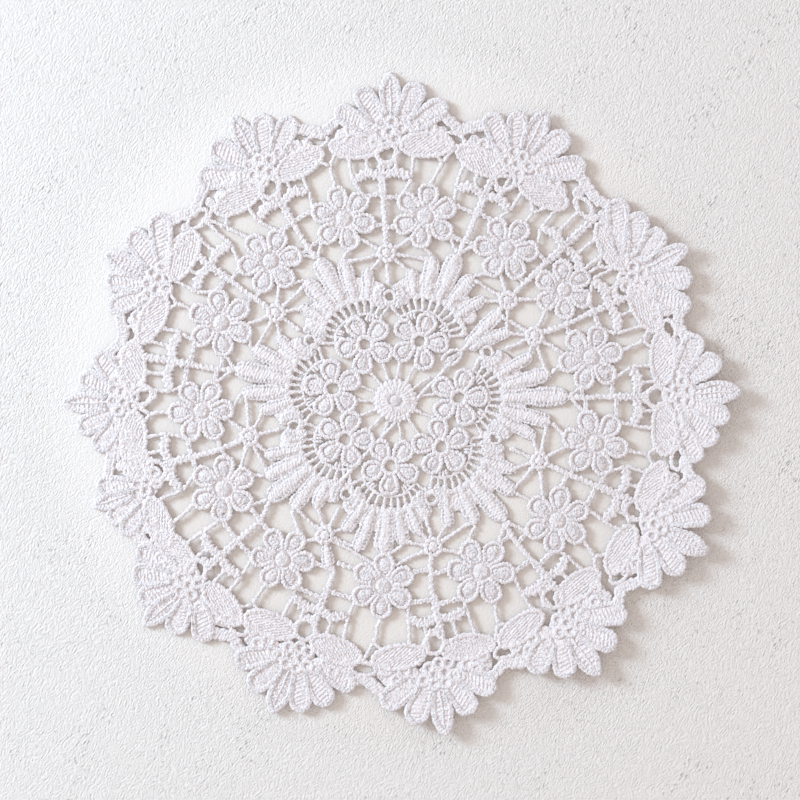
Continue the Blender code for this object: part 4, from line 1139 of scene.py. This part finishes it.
def plaster_height(tree, place):
    """Height = soft waves and two sizes of sand, drawn out along the trowel's way, less small pits. A grain
    of sand or a pit is where a point lies near the middle of its cell, and a coarse noise gathers the pits
    in patches."""
    way = tree.nodes.new("ShaderNodeMapping")
    way.vector_type = "TEXTURE"
    way.inputs["Rotation"].default_value = (0, 0, math.radians(50))
    way.inputs["Scale"].default_value = (1.8, 1.0, 1.0)
    way.inputs["Location"].default_value = (0.06, 0.13, 0)
    tree.links.new(place, way.inputs["Vector"])
    height, patch = 0.0, None
    for scale, share in ((400.0, 0.25), (2100.0, 0.5), (45.0, 0.0)):
        wave = tree.nodes.new("ShaderNodeTexNoise")
        wave.inputs["Scale"].default_value = scale
        wave.inputs["Detail"].default_value = 2.0
        tree.links.new(way.outputs[0], wave.inputs["Vector"])
        patch = wave.outputs[0]
        height = add_math(tree, "MULTIPLY_ADD", patch, share, height)
    cells = []
    for scale in (560.0, 1500.0):
        cells.append(tree.nodes.new("ShaderNodeTexVoronoi"))
        cells[-1].inputs["Scale"].default_value = scale
        tree.links.new(way.outputs[0], cells[-1].inputs["Vector"])
    height = add_math(tree, "MULTIPLY_ADD", cells[1].outputs["Distance"], -0.5, height)
    reach = add_math(tree, "MULTIPLY_ADD", patch, 0.9, -0.28)
    pit = add_math(tree, "MAXIMUM", add_math(tree, "SUBTRACT", reach, cells[0].outputs["Distance"]), 0.0)
    return add_math(tree, "MULTIPLY_ADD", pit, -3.0, height)


# %% Where the lace lies: smoother plaster and painted shade
SMOOTH = ((-0.008, 0.006, 0), 0.12, 0.157, 0.25)
# painted shade: inside this ring, whose middle sits toward the lower right, the plaster is coloured darker
# and warmer
PAINTED_SHADE_RING = ((0.01, -0.008, 0), 0.115, 0.155, 0.0)


def outside(tree, place, middle, start, end, least):
    """Grows from the least value to 1 between two distances from a middle."""
    away, mask = tree.nodes.new("ShaderNodeVectorMath"), tree.nodes.new("ShaderNodeMapRange")
    away.operation = "DISTANCE"
    away.inputs[1].default_value = middle
    tree.links.new(place, away.inputs[0])
    tree.links.new(away.outputs["Value"], mask.inputs["Value"])
    for name, value in (("From Min", start), ("From Max", end), ("To Min", least)):
        mask.inputs[name].default_value = value
    return mask.outputs[0]


print("the plaster is smooth up to", round(1000 * SMOOTH[1]), "mm from the middle")

# %% The surface it lies on


def plaster():
    """Under the lace the plaster is smoother than around it, and its colour is painted a little darker and
    warmer there as shade, shifted toward the lower right.
    """
    finish = bpy.data.materials.new("pale_plaster")
    finish.use_nodes = True
    tree = finish.node_tree
    shader = tree.nodes["Principled BSDF"]
    place = tree.nodes.new("ShaderNodeTexCoord").outputs["Object"]
    bump = tree.nodes.new("ShaderNodeBump")
    bump.inputs["Distance"].default_value = 0.001
    tree.links.new(outside(tree, place, *SMOOTH), bump.inputs["Strength"])
    tree.links.new(plaster_height(tree, place), bump.inputs["Height"])
    tree.links.new(bump.outputs[0], shader.inputs["Normal"])
    # painted shade: a darker, warmer plaster colour under the lace and a lighter one around it
    painted_shade_mix = tree.nodes.new("ShaderNodeMix")
    painted_shade_mix.data_type = "RGBA"
    tree.links.new(outside(tree, place, *PAINTED_SHADE_RING), painted_shade_mix.inputs["Factor"])
    painted_shade_mix.inputs[6].default_value = (0.785, 0.737, 0.70, 1)
    painted_shade_mix.inputs[7].default_value = (0.84, 0.807, 0.787, 1)
    tree.links.new(painted_shade_mix.outputs[2], shader.inputs["Base Color"])
    shader.inputs["Roughness"].default_value = 0.9
    shader.inputs["Specular IOR Level"].default_value = 0.2
    return finish


floor_mesh = bpy.data.meshes.new("table")
floor_mesh.from_pydata([(x, y, 0.0) for x, y in ((-3, -3), (3, -3), (3, 3), (-3, 3))], [], [(0, 1, 2, 3)])
floor = bpy.data.objects.new("table", floor_mesh)
bpy.context.scene.collection.objects.link(floor)
floor_mesh.materials.append(plaster())
print("the table is finished with", floor_mesh.materials[0].name)

# %% Light
scene = bpy.context.scene
scene.view_settings.view_transform = "Standard"
scene.cycles.diffuse_bounces = 10
world = bpy.data.worlds.new("soft_room")
world.use_nodes = True
world.node_tree.nodes["Background"].inputs["Color"].default_value = (1.0, 0.93, 0.90, 1)
world.node_tree.nodes["Background"].inputs["Strength"].default_value = 0.80
scene.world = world
key_data = bpy.data.lights.new("window", "AREA")
key_data.shape = "DISK"
key_data.size = 0.5
key_data.energy = 22.8
key_data.color = (0.66, 0.85, 1.0)
key = bpy.data.objects.new("window", key_data)
key.location = (-1.27, 0.50, 0.72)
key.rotation_euler = (-key.location).to_track_quat("-Z", "Y").to_euler()
scene.collection.objects.link(key)
print("the key light stands", round(key.location.length, 2), "m away")

# %% Camera
VIEW_WIDTH, VIEW_AT = 0.3550, (-0.0005, 0.0013)  # metres, at the height of the lace
LACE_TOP = 0.003
LENS, SENSOR = 85.0, 36.0
camera_data = bpy.data.cameras.new("camera")
camera_data.lens = LENS
camera_data.sensor_width = SENSOR
camera = bpy.data.objects.new("camera", camera_data)
camera.location = (*VIEW_AT, VIEW_WIDTH * LENS / SENSOR + LACE_TOP)
scene.collection.objects.link(camera)
scene.camera = camera
print("the camera looks down from", round(camera.location.z, 3), "m")
